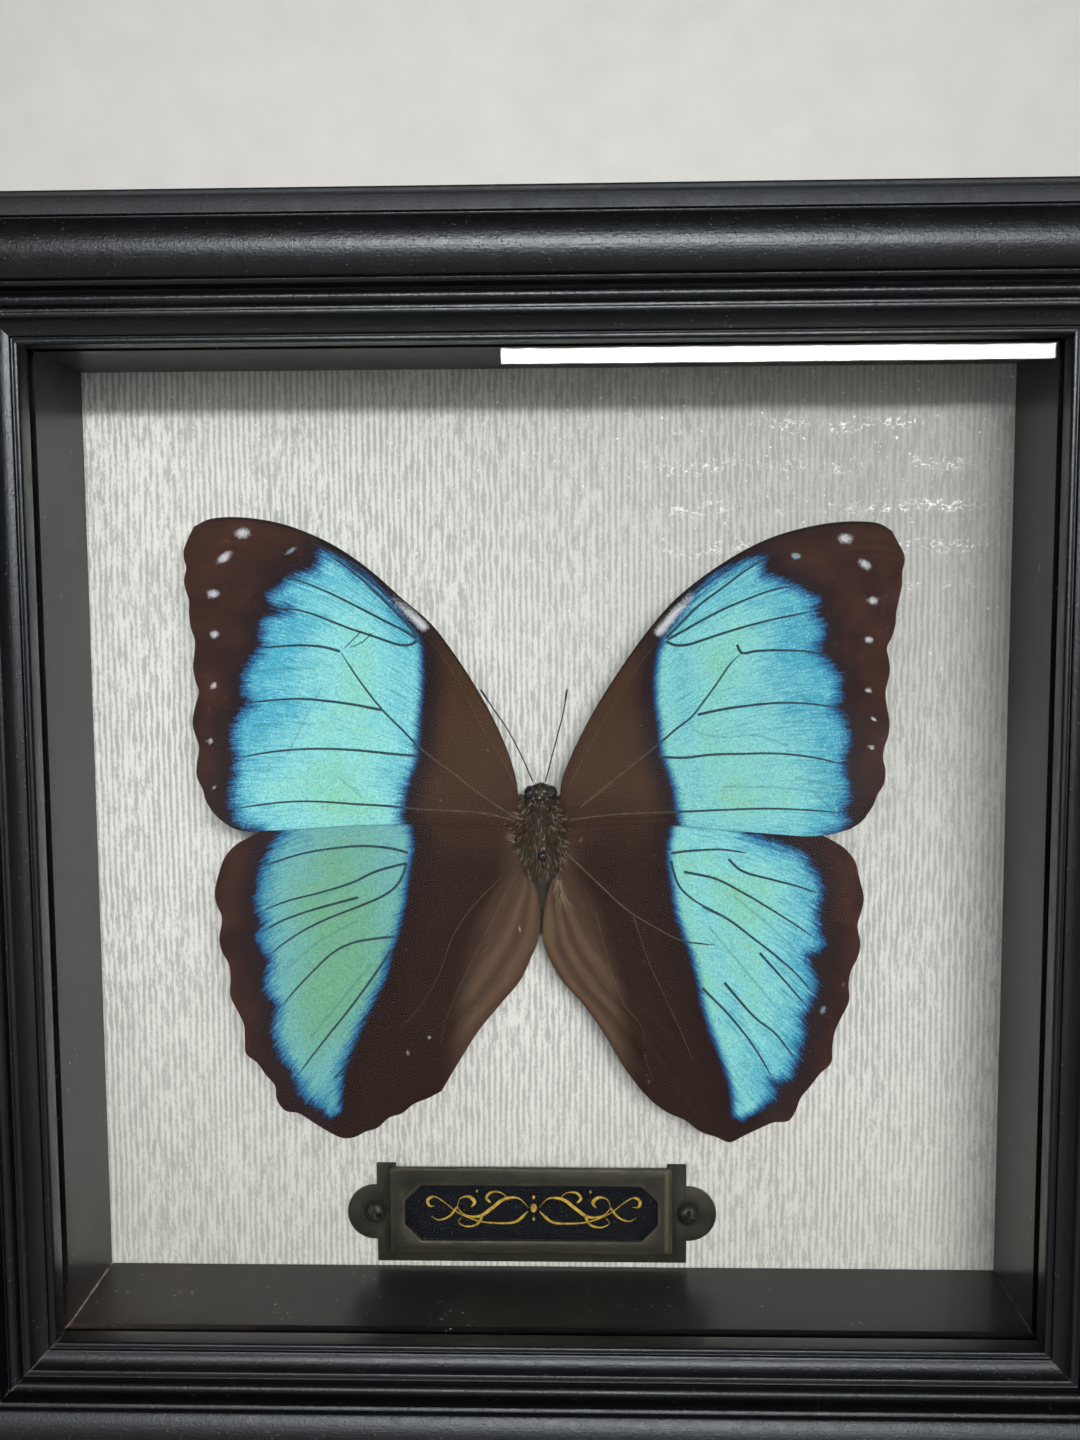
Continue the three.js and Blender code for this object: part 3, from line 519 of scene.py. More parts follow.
def wing_look():
    """Scales: dark brown, then a violet and blue edge, then the turquoise band, in streaks from the root."""
    m = Look("wing_scales")
    grain = m.grain()
    streak = m.noise(1.0, 3, 0.6, (0.28, 2.6, 1), grain)
    brush = m.noise(1.0, 2, 0.6, (0.9, 6.0, 1), grain)
    scale = m.noise(3600, 2, 0.6)
    patch = m.noise(170, 3, 0.6)
    outer = m.value("outer")
    ragged = (m.fit(streak, 0.2, 0.8, -1.5, 1.5) + m.fit(brush, 0.2, 0.8, -0.8, 0.8)
              + m.fit(scale, 0.2, 0.8, -0.9, 0.9))
    band = m.value("band") + ragged * m.fit(outer, 0, 1, 0.2, 0.6)
    tint = (m.value("tint") + m.fit(patch, 0.3, 0.7, -0.14, 0.14)
            + m.fit(streak, 0.25, 0.75, -0.26, 0.26) - outer * m.fit(band, 9, 1, 0, 0.42))
    core = m.paint(m.mix(m.fit(tint, 0, 0.5), (54, 158, 190), (132, 210, 212)), [
        (m.fit(tint, 0.5, 1), 131, 199, 154),
        (m.fit(brush, 0.45, 0.8, 0, 0.4), 168, 222, 206),
        (m.fit(streak, 0.44, 0.3, 0, 0.35), 84, 146, 146),
        (m.fit(scale, 0.28, 0.52, 0.5, 0), 62, 124, 136),
        (m.fit(scale, 0.56, 0.72, 0, 0.4), 190, 236, 226),
        (m.fit(m.noise(2100, 2, 0.65), 0.67, 0.72, 0, 0.5), 44, 84, 96),
        (m.value("deep"), 24, 54, 56),
    ])
    depth = band * m.fit(outer, 0, 1, 1.7, 1.0)
    lit = m.mix(m.fit(depth, 0.1, 2.2, smooth=True), (34, 104, 142), core)
    lit = m.mix(m.fit(depth, -0.4, 0.7), (26, 40, 80), lit)
    brown = m.mix(m.fit(streak, 0.3, 0.75, 0, 0.3), (62, 42, 29), (73, 52, 38))
    cloud = m.mix(m.fit(patch + streak * 0.5, 0.6, 0.9), (42, 25, 21), (64, 38, 30))
    brown = m.mix(outer, brown, cloud)
    brown = m.mix(m.fit(m.value("near"), 0, 1), brown, (36, 24, 26))
    brown = m.mix(m.value("dark"), brown,
                  m.mix(m.fit(streak, 0.3, 0.75), (24, 11, 8), (38, 20, 14)))
    brown = m.paint(brown, [
        (m.fit(patch, 0.35, 0.62, 0.2, 0), 26, 17, 14),
        (m.fit(m.noise(1300, 1, 0.5), 0.77, 0.8, 0, 0.5), 124, 112, 100),
    ])
    # Painted light and shade: the folded part is lighter on the pleats' raised crests and darker in their
    # valleys.
    fold = m.value("pleat") * 0.42 + m.fit(streak) * 0.4
    fold = m.paint(m.mix(fold, (56, 39, 29), (107, 85, 68)), [
        (m.fit(brush, 0.4, 0.7, 0, 0.35), 60, 44, 35),
        (m.fit(m.value("olive"), 0, 0.6, 0, 0.55), 94, 82, 54),
    ])
    brown = m.mix(m.value("fold"), brown, fold)
    white = m.value("spot") + m.fit(scale, 0.2, 0.8, -0.3, 0.3)
    costa = m.fit(m.axis(1, grain), WING_UV[1] + 0.75, WING_UV[1] + 0.25)
    pale = m.value("bluish") + m.fit(scale, 0.2, 0.8, -0.3, 0.3)
    base = m.paint(m.mix(m.fit(band, -0.7, 0.0, smooth=True), brown, lit), [
        (costa * 0.85, 20, 15, 13),
        (m.fit(white, 0.0, 0.7, 0, 0.88), 200, 202, 206),
        (m.fit(pale, 0.0, 0.5, 0, 0.6), 130, 168, 180),
        # Painted shade: thin darker lines along creases that the sheet itself doesn't have.
        (m.fit(m.value("crease"), 0.0, 0.3, 0.5, 0), 50, 92, 100),
    ])
    height = (scale * 0.35 + brush * 0.5 + streak * 0.6) * m.fit(band, -0.8, 0.6, 0.08, 1)
    return m.surface(base, m.fit(band, -0.8, 0.8, 0.6, 0.45), (height, 0.09, 0.00016),
                     Specular_IOR_Level=0.05)


def vein_look():
    m = Look("wing_veins")
    fine = m.noise(1800, 2, 0.6)
    dark = m.mix(m.fit(fine), (24, 48, 58), (46, 78, 88))
    pale = m.mix(m.fit(fine), (56, 44, 35), (92, 77, 63))
    base = m.mix(m.fit(m.value("pale"), 0, 1), dark, pale)
    return m.surface(base, 0.5, (fine, 0.3, 0.00006), Specular_IOR_Level=0.1)


def hair_look():
    m = Look("brown_hair")
    tone = m.value("tone")
    base = m.paint(m.mix(m.fit(tone, 0, 0.75), (14, 9, 5), (94, 70, 44)), [
        # pale hairs, and the painted glints of the pale knobs
        (m.fit(tone, 0.82, 0.97), 172, 160, 142),
        (m.fit(m.noise(900, 2), 0.3, 0.7, 0, 0.45), 40, 28, 17),
    ])
    return m.surface(base, 0.45, Specular_IOR_Level=0.16)


def studio_look():
    m = Look("pale_studio_floor")
    base = m.mix(m.fit(m.noise(9, 3)), (205, 204, 201), (212, 211, 208))
    base = m.mix(m.fit(m.noise(420, 2), 0.3, 0.7, 0, 0.08), base, (180, 179, 176))
    return m.surface(base, 0.85)


def plain_look(name, grain, span, shades, gloss, bump, marks=(), **shader):
    """One noise gives colour, roughness and bump, with marks of sparser noises over it."""
    m = Look(name)
    pattern = m.noise(*grain)
    base = m.mix(m.fit(pattern, *span), *shades)
    base = m.paint(base, [(m.fit(m.noise(*mark[0]), *mark[1]), *mark[2]) for mark in marks])
    return m.surface(base, m.fit(pattern, 0.3, 0.7, *gloss), (pattern, *bump), **shader)


LACQUER, WALL, GLASS, PAPER = lacquer_look(), wall_look(), glass_look(), paper_look()
BOARD = plain_look(
    "brown_hardboard", (900, 4, 0.7, (1, 1, 0.4), None, 1.2), (0.3, 0.7), [(112, 82, 54), (146, 112, 78)],
    (0.62, 0.86), (0.4, 0.0002),
    [((14, 3), (0.3, 0.7, 0, 0.3), (98, 72, 50)), ((2400, 1), (0.66, 0.72, 0, 0.5), (70, 50, 36))])
TAB_STEEL = steel_look("rolled_steel", (176, 176, 172), (140, 140, 138))
HANGER_STEEL = steel_look("plated_steel", (196, 190, 172), (164, 158, 142))
BRASS, WING, VEIN, HAIR = brass_look(), wing_look(), vein_look(), hair_look()
SCREW = plain_look(
    "dark_brass_screws", (900, 3, 0.65), (0.35, 0.65), [(26, 24, 20), (52, 48, 38)], (0.3, 0.42),
    (0.3, 0.0001), [((2600, 2, 0.6), (0.6, 0.7, 0, 0.6), (128, 118, 92))], Metallic=0.6)
CARD = plain_look(
    "blue_black_card", (1500, 4, 0.65), (0.3, 0.7), [(8, 10, 15), (14, 16, 23)], (0.6, 0.8),
    (0.1, 0.0001), [((3200, 1), (0.7, 0.76, 0, 0.4), (120, 120, 120))], Specular_IOR_Level=0.03)
INK = plain_look(
    "gold_ink", (1700, 3, 0.6), (0.4, 0.65), [(196, 164, 62), (142, 112, 38)], (0.4, 0.6),
    (0.3, 0.00004), Metallic=0.2, Specular_IOR_Level=0.2)
CHITIN = plain_look(
    "dry_chitin", (1300, 4, 0.65), (0.3, 0.7), [(14, 11, 9), (44, 36, 27)], (0.3, 0.55), (0.5, 0.0002),
    Specular_IOR_Level=0.35)
ENAMEL = plain_look(
    "black_enamel", (2500, 2), (0.3, 0.7), [(16, 16, 20), (30, 30, 34)], (0.14, 0.24), (0.1, 0.00003))


def dress(node, material):
    """A CAD node that stays, with a better material."""
    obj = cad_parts[node]
    if not obj.material_slots:
        obj.data.materials.append(material)
    for held in obj.material_slots:
        held.material = material


# ---- frame
def arc(x, y, radius, start, end, count):
    a = np.radians(np.linspace(start, end, count))
    return [(x + radius * math.cos(v), y + radius * math.sin(v)) for v in a]


def bend(p0, p1, p2, count=6):
    t = np.linspace(0, 1, count)[:, None]
    p0, p1, p2 = (np.array(p, float) for p in (p0, p1, p2))
    return [tuple(p) for p in (1 - t)**2 * p0 + 2 * t * (1 - t) * p1 + t**2 * p2]


def moulding():
    """The moulding's section as (outwards, forwards) from the sight edge and the glass."""
    crown = (12.3, 1.8, 7.5)
    angle = [math.degrees(math.acos((u - crown[0]) / crown[2])) for u in (8.4, 16.2)]
    front = [(0, 0.3)] + bend((0, 3.3), (0, 3.85), (0.5, 3.85)) + [(0.8, 3.85), (0.9, 3.45), (1.15, 3.45)]
    front += bend((1.25, 3.9), (2.9, 4.1), (3.6, 5.5), 9) + [(4.2, 5.6), (4.35, 4.85), (4.95, 4.85)]
    front += arc(5.85, 5.7, 0.9, 180, 0, 15) + [(6.8, 4.95), (7.3, 4.95), (7.4, 7.7), (8, 7.95), (8.15, 7.5)]
    front += arc(*crown, *angle, 22) + [(16.35, 7.4), (16.9, 7.2), (17.05, 7.8), (19.4, 7.6), (19.6, 6.3)]
    front += bend((20.2, 6.15), (21, 6.4), (21, 5.2)) + [(21, -28), (7, -28), (7, 0.3)]
    return rounded(np.array(front, float), 0.14)


def rounded(section, radius):
    """Each sharp corner of a closed section as a small arc."""
    out = []
    for before, p, after in zip(np.roll(section, 1, 0), section, np.roll(section, -1, 0)):
        a, b = before - p, after - p
        la, lb = np.linalg.norm(a), np.linalg.norm(b)
        if (a @ b) / (la * lb) < -0.94:
            out.append(p)
            continue
        a, b = p + a / la * min(radius, la * 0.45), p + b / lb * min(radius, lb * 0.45)
        out += [a, (a + 2 * p + b) / 4, b]
    return np.array(out)


RAIL_STATIONS = 25  # sections along one rail
MITRE_GAP = 0.05  # half of the open joint at a corner
GRAIN_STEP = 400  # so that each rail has its own place in the grain map


def rail(side):
    """One rail from mitre to mitre, built as the top one and turned."""
    section = moulding()
    along = np.r_[0, np.cumsum(np.linalg.norm(np.diff(section, axis=0), axis=1))]
    verts, uv = [], []
    for s in np.linspace(-1, 1, RAIL_STATIONS):
        for (u, h), v in zip(section, along):
            verts.append([s * (HALF + u - MITRE_GAP), -h, HALF + u])
            uv.append([s * (HALF + u), v])
    verts, uv = np.array(verts), np.array(uv)
    turn = SIDES.index(side) * math.pi / 2
    c, s = math.cos(turn), math.sin(turn)
    x, z = verts[:, 0].copy(), verts[:, 2].copy()
    verts[:, 0], verts[:, 2] = c * x + s * z, -s * x + c * z
    soup = Soup()
    soup.add(verts, ring_faces(RAIL_STATIONS, len(section)), uv=uv + [SIDES.index(side) * GRAIN_STEP, 0])
    soup.piece(f"{side}_rail", [LACQUER], f"frame_rail_{side}", sharp=28)


def softened(node, name, material, width, steps=2):
    """A copy of a CAD solid with small rounded edges."""
    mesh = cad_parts[node].data.copy()
    mesh.name = name
    bm = bmesh.new()
    bm.from_mesh(mesh)
    bmesh.ops.remove_doubles(bm, verts=bm.verts, dist=1e-6)
    bmesh.ops.dissolve_limit(bm, angle_limit=math.radians(1), verts=bm.verts, edges=bm.edges)
    sharp = [e for e in bm.edges if len(e.link_faces) == 2 and e.calc_face_angle(0) > math.radians(35)]
    bmesh.ops.bevel(bm, geom=sharp, offset=width * MM, offset_type="OFFSET", segments=steps, profile=0.5,
                    affect="EDGES", clamp_overlap=True)
    mesh.materials.clear()
    mesh.materials.append(material)
    settle(mesh, bm, node, sharp=32)


for side in SIDES:
    rail(side)
    dress(f"box_wall_{side}", WALL)
    for end in "ab":
        softened(f"back_tab_{side}_{end}", f"{side}_tab_{end}", TAB_STEEL, 0.1, 1)
dress("glass_pane", GLASS)
dress("backing_board", PAPER)
softened("back_panel", "hardboard_panel", BOARD, 0.3)
softened("hanger", "sawtooth_hanger", HANGER_STEEL, 0.12)
for side in ("left", "right"):
    dress(f"hanger_nail_{side}", HANGER_STEEL)

# ---- label
softened("label_holder", "card_holder", BRASS, 0.14)
for side in ("left", "right"):
    softened(f"label_screw_{side}", f"holder_screw_{side}", SCREW, 0.06, 1)
dress("label_card", CARD)

INK_LIFTS = (0.68, 0.73)  # back and front of the ink, on a card face at 0.7
FLOURISH = (-2.5, -64.5)  # middle of the ornament


def stroke(soup, path, widest, thin=0.07):
    """A pen stroke: thick on the way down, thin on the way up, flat on the card."""
    path = even(catmull(path, 14), 60)
    way = np.gradient(path, axis=0)
    way /= np.linalg.norm(way, axis=1)[:, None]
    t = np.linspace(0, 1, len(path))
    pressure = 0.5 - 0.5 * np.sign(way[:, 1]) * np.abs(way[:, 1]) ** 0.7
    width = (thin + (widest - thin) * pressure) * np.minimum(1, np.minimum(t, 1 - t) * 12 + 0.25)
    side = np.stack([-way[:, 1], way[:, 0]], 1) * (width / 2)[:, None]
    back, front = INK_LIFTS
    corners = [(path + side, back), (path - side, back), (path - side, front), (path + side, front)]
    verts = np.stack([on_lift(p, lift) for p, lift in corners], 1)
    soup.add(verts.reshape(-1, 3), ring_faces(len(path), 4))


def flourish():
    """A mirrored scroll with leaves and dots, and no letters."""
    soup = Soup()
    cx, cz = FLOURISH
    scrolls = [
        ("0.8,0 2.6,1.7 5,1.5 7,0 9.2,-1.5 11.6,-1.3 12.9,0.1 12.4,1.6 10.9,1.9 10,0.9 10.6,0.1", 0.62),
        ("1,-0.6 3,-2.4 6,-2.7 9.5,-2.3 13,-0.8 15.4,1.1 17,1.9 18,1.2 17.6,0.2 16.7,0.3", 0.5),
        ("4.2,1.3 5.4,2.6 7.2,2.7 8,1.7 7.3,0.9", 0.42),
        ("8.6,-1.2 9.6,-2.9 11.6,-3.3 12.8,-2.5 12.2,-1.7", 0.42),
        ("12.9,0.2 14.4,-1.6 16.2,-2.2 17.4,-1.6", 0.36),
    ]
    for text, widest in scrolls:
        half = pts(text)
        for mirror in (1, -1):
            stroke(soup, half * [mirror, 1] + [cx, cz], widest)
    for x, z, r in ((0, 0, 0.75), (0, 1.9, 0.3), (0, -1.9, 0.3), (9.6, 2.9, 0.26), (-9.6, 2.9, 0.26)):
        turn = around(14)
        shape = np.stack([np.cos(turn) * r * 0.7, np.sin(turn) * r], 1) + [cx + x, cz + z]
        soup.add(np.vstack([on_lift(shape, lift) for lift in INK_LIFTS]), ring_faces(2, 14))
    soup.piece("card_flourish", [INK], None)


flourish()

# ---- wings
ROOT_LIFT, WING_RISE = 6.5, 0.1  # lift at the middle, and its gain for each millimetre outwards
WING_LAP = 0.4  # forewings lie this much above, hindwings this much below
MEMBRANE = 0.14  # thickness of the sheet
PLEAT_DEPTH, PLEAT_START = 0.38, 0.72  # folds of a hindwing, from this share of its width on
RIDGE_HEIGHT, RIDGE_WIDTH = 0.09, 0.9  # swelling of the sheet along a vein
RIPPLE_HEIGHT, RIPPLES = 0.015, 150  # fine waves across the sheet
VEIN_RADIUS, THIN_VEIN_RADIUS, VEIN_FLAT = 0.22, 0.1, 0.6
BROWN_VEIN_SHARE = 0.68  # thickness of a vein outside the bright band
WING_UV_SIZE = 50  # width and height of one wing in the grain map
STREAK_START = 19.0  # distance of the white leading-edge streak's bright end from the middle

# Each line is a name and its points x,z, and a line that starts with a space goes on with the last.
# Spots, bluish and olive are x,z, two radii and a turn in degrees. Greens are x,z, a radius and a share.
WINGS = {
    "forewing_left": """
leading -4.3,6.6 -4.6,9.2 -5.8,13.6 -8.3,19.5 -11.3,25 -14.5,30 -18,34.6 -22.3,38.4 -27,42.7 -32,46.3
 -37,48.8 -42,50.4 -48,51.1 -51.8,50.7 -54,49.6
margin -54,49.6 -54.9,47.8 -55.6,46 -55.6,44.6 -55.3,43.4 -55.7,41.3 -55.4,39.6 -55,38.2 -55.1,36.4
 -54.8,33.8 -54.3,32.1 -54.4,30.2 -54.7,28 -54.4,25.8 -53.9,24.1 -54.5,22 -55,19 -54.6,17.2 -54.1,15.3
 -54.5,12.9 -54.6,10.8 -53.7,8.6 -53.4,7.2 -52.5,5.4 -50.9,3.6 -48.9,2.3 -46.8,1.8
trailing -4.3,1.6 -10,2.2 -16,2.5 -22,2.6 -30,2.6 -38,2.2 -46.8,1.8
band -20.2,33 -19.3,31 -19.2,25 -20,17 -20.3,13 -21.5,10 -22.3,7 -22.8,4 -22.5,2.5 -22.5,-3 -45,-3 -45,2
 -47.8,2.6 -49.2,4 -49,5.4 -49.6,6.5 -49.6,8.5 -49,11 -48.5,13.6 -49,15 -49,17.5 -48,20.5 -46,22.4 -47,23.5
 -47.3,26 -45.8,29 -44,31.3 -44.3,33 -43.8,35.3 -40,37 -42.5,37.3 -43,39 -40.5,41 -38.5,42.3 -36,43
 -35.2,44.3 -35,46 -32,45 -28,42 -24,38.5
vein -20,32.5 -22.5,35.5 -25,38 -28,41 -31,43.5 -33.5,45.2
vein -20.2,32.2 -22.5,33.6 -25,34.9 -28,36.5 -32,38.6 -35,40 -38,41.2 -41,42
vein -20,31.8 -21,31.2 -22.5,31.1 -24,31.5 -27,32.6 -30,33.6 -33,34.8 -36,36 -39,36.8 -42.5,36.9
vein -32,30.2 -34.5,30.9 -38,31.2 -42,31 -44.5,30.8
vein -5.5,3.8 -10,7 -15,11 -18,13.3 -20,15 -22.5,17.7 -25.5,20.8 -28.9,25.3 -32,30.2
vein -25.7,20.9 -30,21.8 -34,22.4 -38,22.8 -42,22.7 -46,22.3
vein -20,13.5 -24,13.9 -30,14.6 -36,14.9 -42,14.6 -48.5,13.6
vein -4.5,2.8 -7,3.5 -10,4.2 -15,4.7 -20,5 -25,5.6 -30,6 -36,6.5 -41,6.5 -49,5.6
thin -4.5,8 -7,13 -9.6,17.2 -11.5,21 -15,27.5 -17.5,31 -19.5,33
thin -27,33 -28.6,31.6 -30.5,30.8
thin -28.8,33.2 -30,32 -31.4,30.6
crease -35,24.5 -38,19 -40.5,14
crease -33,10.6 -31,8.8 -29,7
crease -45.5,27 -41,27.6 -36,27.6
crease -46,18.5 -43.5,18.9 -41,19
streak -19,34 -21.4,36.3 -24,38.5
spots -46.6,48.6,1.3,0.95,0 -49.5,44.9,1.5,0.75,40 -51.3,39.3,1,0.75,0 -51.3,33,0.8,0.7,0
 -51.6,25,0.75,0.45,60 -52.4,16.3,0.5,0.45,0 -52,9,0.4,0.3,0
bluish -39.3,45.9,1.1,0.4,35
greens -27,26,8,0.14 -34,7,9,0.3 -24,5,6,0.2 -42,20,7,-0.2 -40,30,8,-0.18 -30,40,8,0.05
deep 0.03
""",
    "forewing_right": """
leading 2.3,6.4 2.6,9.3 4,13 6.3,17.8 9,22.6 12.5,28 16,32.9 20,37.6 24,41 28,43.8 32,46.1 36,47.8 40,48.9
 44,49.6 48,49.8 51.3,49.4 53.1,48.3
margin 53.1,48.3 54.1,46.5 55,44.7 55.1,43.6 54.8,42.2 54.8,40.2 54.4,38 54,36 53.9,34 53.4,32.1 52.7,30.5
 53,28.8 53.2,26.9 52.9,25.2 52.6,23.6 52.9,21.2 53.3,18.8 53.1,16.8 52.6,15.2 52.4,13.4 52.8,11.6 52.6,9.4
 51.6,7.6 51.2,6.3 50.3,4.8 49.3,3.4 47.6,2.2
trailing 2.3,1.5 8,2.2 15,2.4 21,2.3 28,1.8 35,1.3 41,1 44.5,1.3 47.6,2.2
band 18.5,32 17.7,29.5 17.3,26 17.3,22 18,18 18.2,14 19.5,11 20.3,8 20.8,5 21.3,2.3 21.3,-3 44,-3 44,1.1
 46,1.8 47.5,3.5 46.5,5 47.5,7 47.3,10 46.5,12 47.3,16 46.8,19 45,21.3 46,23 45.8,26 44,28.5 42,30.2 43,31.5
 43.5,34 41.5,36.3 42.5,38 38.3,40.3 36,41.3 34,42 34,44.5 31,44 27,42 23,39
vein 19,32 21,34 24,37 28,40 31,42.3 34,44
vein 19.3,31.8 22,33.3 25,35 29,37 33,38.6 36,39.6 39,40
vein 19,31.5 20.5,30.9 22.5,31 25,31.8 28,32.8 32,34 36,35 41,36
vein 30,31 30.7,29.7 33,30 37,30.1 41,29.9 44,29.3
vein 5.5,5 12,10.4 18.5,15.8 20.5,17.6 23,19.6 25,22.2 27,25 29,28 30.7,29.7
vein 24,20 28,20.9 32,21.5 36,21.9 40,21.9 46,21.2
vein 18,13.3 22,13.2 26,13.7 31,13.9 36,14 40,13.7 44,13 46.5,12.3
vein 4,3 8,3.6 14,4.2 20,4.5 25,4.8 30,5.1 35,5.3 40,5.2 46.5,4.8
thin 3.8,8.5 6.3,13.4 9,18.4 12.5,24 16,29.4 18.4,32
crease 28,8.7 37,8.6 47,7.5
crease 39,10.3 47,8.6
crease 42,8 45,5
crease 40,22.9 42,21.8
crease 22.5,19 24,17.3 28,16.5 33,16.8 38,15.2
streak 18,33 20.4,35.8 23,38.5
spots 46.2,47.2,1.15,0.9,0 49.2,43.3,1.2,0.7,-35 50.5,37.7,0.8,0.7,0 50,31.7,0.75,0.6,0 50,23.9,0.6,0.45,0
 50.9,19.5,0.35,0.3,0 50.6,15.1,0.45,0.45,0
bluish 38.8,44.6,0.9,0.6,0
greens 26,27,8,0.2 27,9,10,0.25 38,20,9,-0.2 40,32,8,-0.15 30,40,8,0.1
deep 0.16
""",
    "hindwing_left": """
leading -4.3,1 -10,4.5 -20,6.6 -32,6.4 -41,3.8 -46.5,1
margin -46.5,1 -49,-0.3 -50.8,-2.3 -51.7,-4.6 -52.5,-7.8 -52.3,-9.8 -51.5,-12 -52,-15.4 -51.7,-17.4
 -50.6,-19.7 -50.4,-22 -50.5,-24.8 -49.4,-27.4 -48.5,-29.6 -48.4,-32 -48.3,-34.3 -46.5,-36 -45.2,-38
 -43.8,-39.8 -43.6,-42 -42.3,-44 -40.2,-44.5 -37.6,-46.3 -35.2,-47.9 -33.2,-48.9 -31.2,-48.8 -29.6,-48
 -27.6,-47.4 -25.6,-45.7 -23.6,-45.1 -21.7,-43.6 -19.4,-42.7 -17.2,-41.6
trailing -3.7,-5.6 -1.5,-8.5 -1,-12 -1.2,-16.5 -2.5,-19.8 -4.2,-23.4 -7.2,-27 -11,-31.6 -14.2,-36.6
 -17.2,-41.6
band -21.5,9 -21.5,2.2 -21.2,-1 -21.8,-4 -22.2,-7 -22.8,-11 -23.8,-15 -25,-18.5 -25.8,-22 -27.5,-25.5
 -29.5,-29.5 -31.5,-34 -33,-38.5 -33.5,-44.5 -35,-45.3 -37,-43.8 -39.5,-42 -40.3,-39.5 -41.5,-37 -43,-34.5
 -44,-31 -43.2,-26.8 -44.8,-24.5 -45,-22 -44.3,-19 -46.3,-15 -45,-13.5 -46.3,-10 -46,-7.5 -45.3,-4.5
 -43.5,-0.5 -42,1.5 -42,9
vein -22,-2.1 -25,-1.3 -29,-0.9 -33,-1.1 -38,-1.8 -42,-2.9 -45,-4
vein -22.3,-3.8 -27,-5 -31,-6.8 -36,-8.3 -41,-9.5 -45,-11
vein -30,-9.2 -34,-10.2 -38,-11.3 -42,-12.7 -45,-14.3
vein -22.3,-3.8 -22.8,-5.5 -24,-7.5 -26,-9 -30,-10.7 -34,-12.2 -38,-14 -42,-16.5 -44.5,-18.5
vein -24,-15.7 -27.5,-16 -31,-16.6 -34,-18 -37,-20.7 -40,-23.8 -42.3,-26.5
vein -25,-18 -27,-21 -29.5,-24.5 -32,-27.8 -35,-31.5 -38,-35.3 -40,-38
vein -32,-36 -33.2,-37.6 -34.5,-39
thin -7.2,-6.4 -11.8,-11.1 -15,-15.8 -17.3,-22 -20.5,-27.5 -24.4,-31.4
thin -4,-4.8 -6.5,-9 -9.1,-14.2 -12.6,-21.2 -15.8,-28.3 -17.3,-33.8
crease -30,-13 -36,-16 -42,-21
crease -28,-20 -33,-26 -38,-32
spots -22.5,-35,0.3,0.5,20 -19,-32.5,0.3,0.4,0 -4.3,-15,0.14,0.9,12
greens -30,-20,10,0.65 -37,-28,9,0.6 -28,-6,9,0.35 -38,-8,7,0.25 -40,-38,7,0.1 -44,-24,5,-0.2
pleats 2
deep 0.42
""",
    "hindwing_right": """
leading 2.3,0.9 9,4.2 20,6 32,5.6 40,2.8 45.2,0.2
margin 45.2,0.2 47,-1 48.6,-3 49.2,-5.4 50,-8.8 49.6,-11.2 49.1,-13.2 49.6,-16.2 49.2,-18.4 48.2,-20.6
 47.9,-22.6 48,-25.4 46.9,-28 45.9,-30.4 45.5,-33 45.4,-35.5 43.6,-37.5 42.2,-39.5 40.7,-41.5 39.9,-43.7
 38.8,-45.4 36.4,-45.8 34,-47 31.6,-48.3 29.5,-49.4 27.4,-48.6 24.8,-47.8 22.3,-46 19.8,-45 17.4,-43.4
 15.2,-41.2
trailing 2,-5.6 0.4,-8.5 -0.3,-12 -0.6,-16.8 0.4,-19.8 2.4,-23.4 5.8,-27.2 9.2,-32 12.4,-37.4 15.2,-41.2
band 20,9 20,1.8 19.5,-1 19.6,-4 20.2,-8 20.8,-12 22,-15.5 23.3,-19 24.3,-23 25,-27 26.3,-31 27.8,-35
 29.3,-39 29.8,-42 30,-45 31.5,-45.6 34,-44 36.3,-42 37,-40.5 36,-39.5 39.3,-38.5 40,-36 40.5,-34 41.3,-31
 40.8,-28.3 42,-26.5 43,-23.5 42.3,-20.5 41.5,-18.5 44,-16.5 43.3,-14 43,-11.5 43.8,-8 43,-5.5 41.5,-3.2
 40,-1.5 36,0 32,1.2 32,9
vein 20,-2.2 23,-1.8 28,-1.5 32,-2
vein 20,-3.5 20.5,-5.5 21.5,-7.8 24,-10 27,-11.5
vein 29,-3 31,-4.8 36,-6.2 40,-7.2 43,-8.2
vein 22,-5.2 27,-6.2 31,-8.2 35,-10.5 39,-13 42,-15
vein 25,-10.7 29,-12.7 33,-15.7 37,-18.8 40,-21.5 42.5,-24.5
vein 34,-18 38,-22.5 41,-26
vein 28.5,-23 31,-26 33.5,-28.7 36.5,-31 39.5,-34.8
vein 25,-24 29,-28 33,-33 36,-38
vein 3.5,-2.8 8,-7 13,-11.6 18,-14.6 21.5,-16.3 27,-17
thin 14,-12.5 16.5,-20 19,-25.5 21.5,-31 24,-37
thin 8,-12 10,-20 12.5,-27 15.5,-31 16,-36 17.5,-40
crease 26,-14 31,-20 36,-26
crease 30,-9 36,-14 40,-18
spots 47,-22.8,0.35,0.4,0
bluish 44,-27,0.9,0.5,60
greens 26,-20,8,0.3 34,-30,9,0 32,-8,9,0.2 24,-4,6,0.25 38,-16,7,-0.05
olive 0.4,-14.5,1.5,4.6,0
pleats 3
deep 0.12
""",
}


def drawing(text):
    """The lines of one wing, listed under their names."""
    lines = defaultdict(list)
    for line in text.strip().replace("\n ", " ").split("\n"):
        name, points = line.split(" ", 1)
        lines[name].append(points)
    return lines


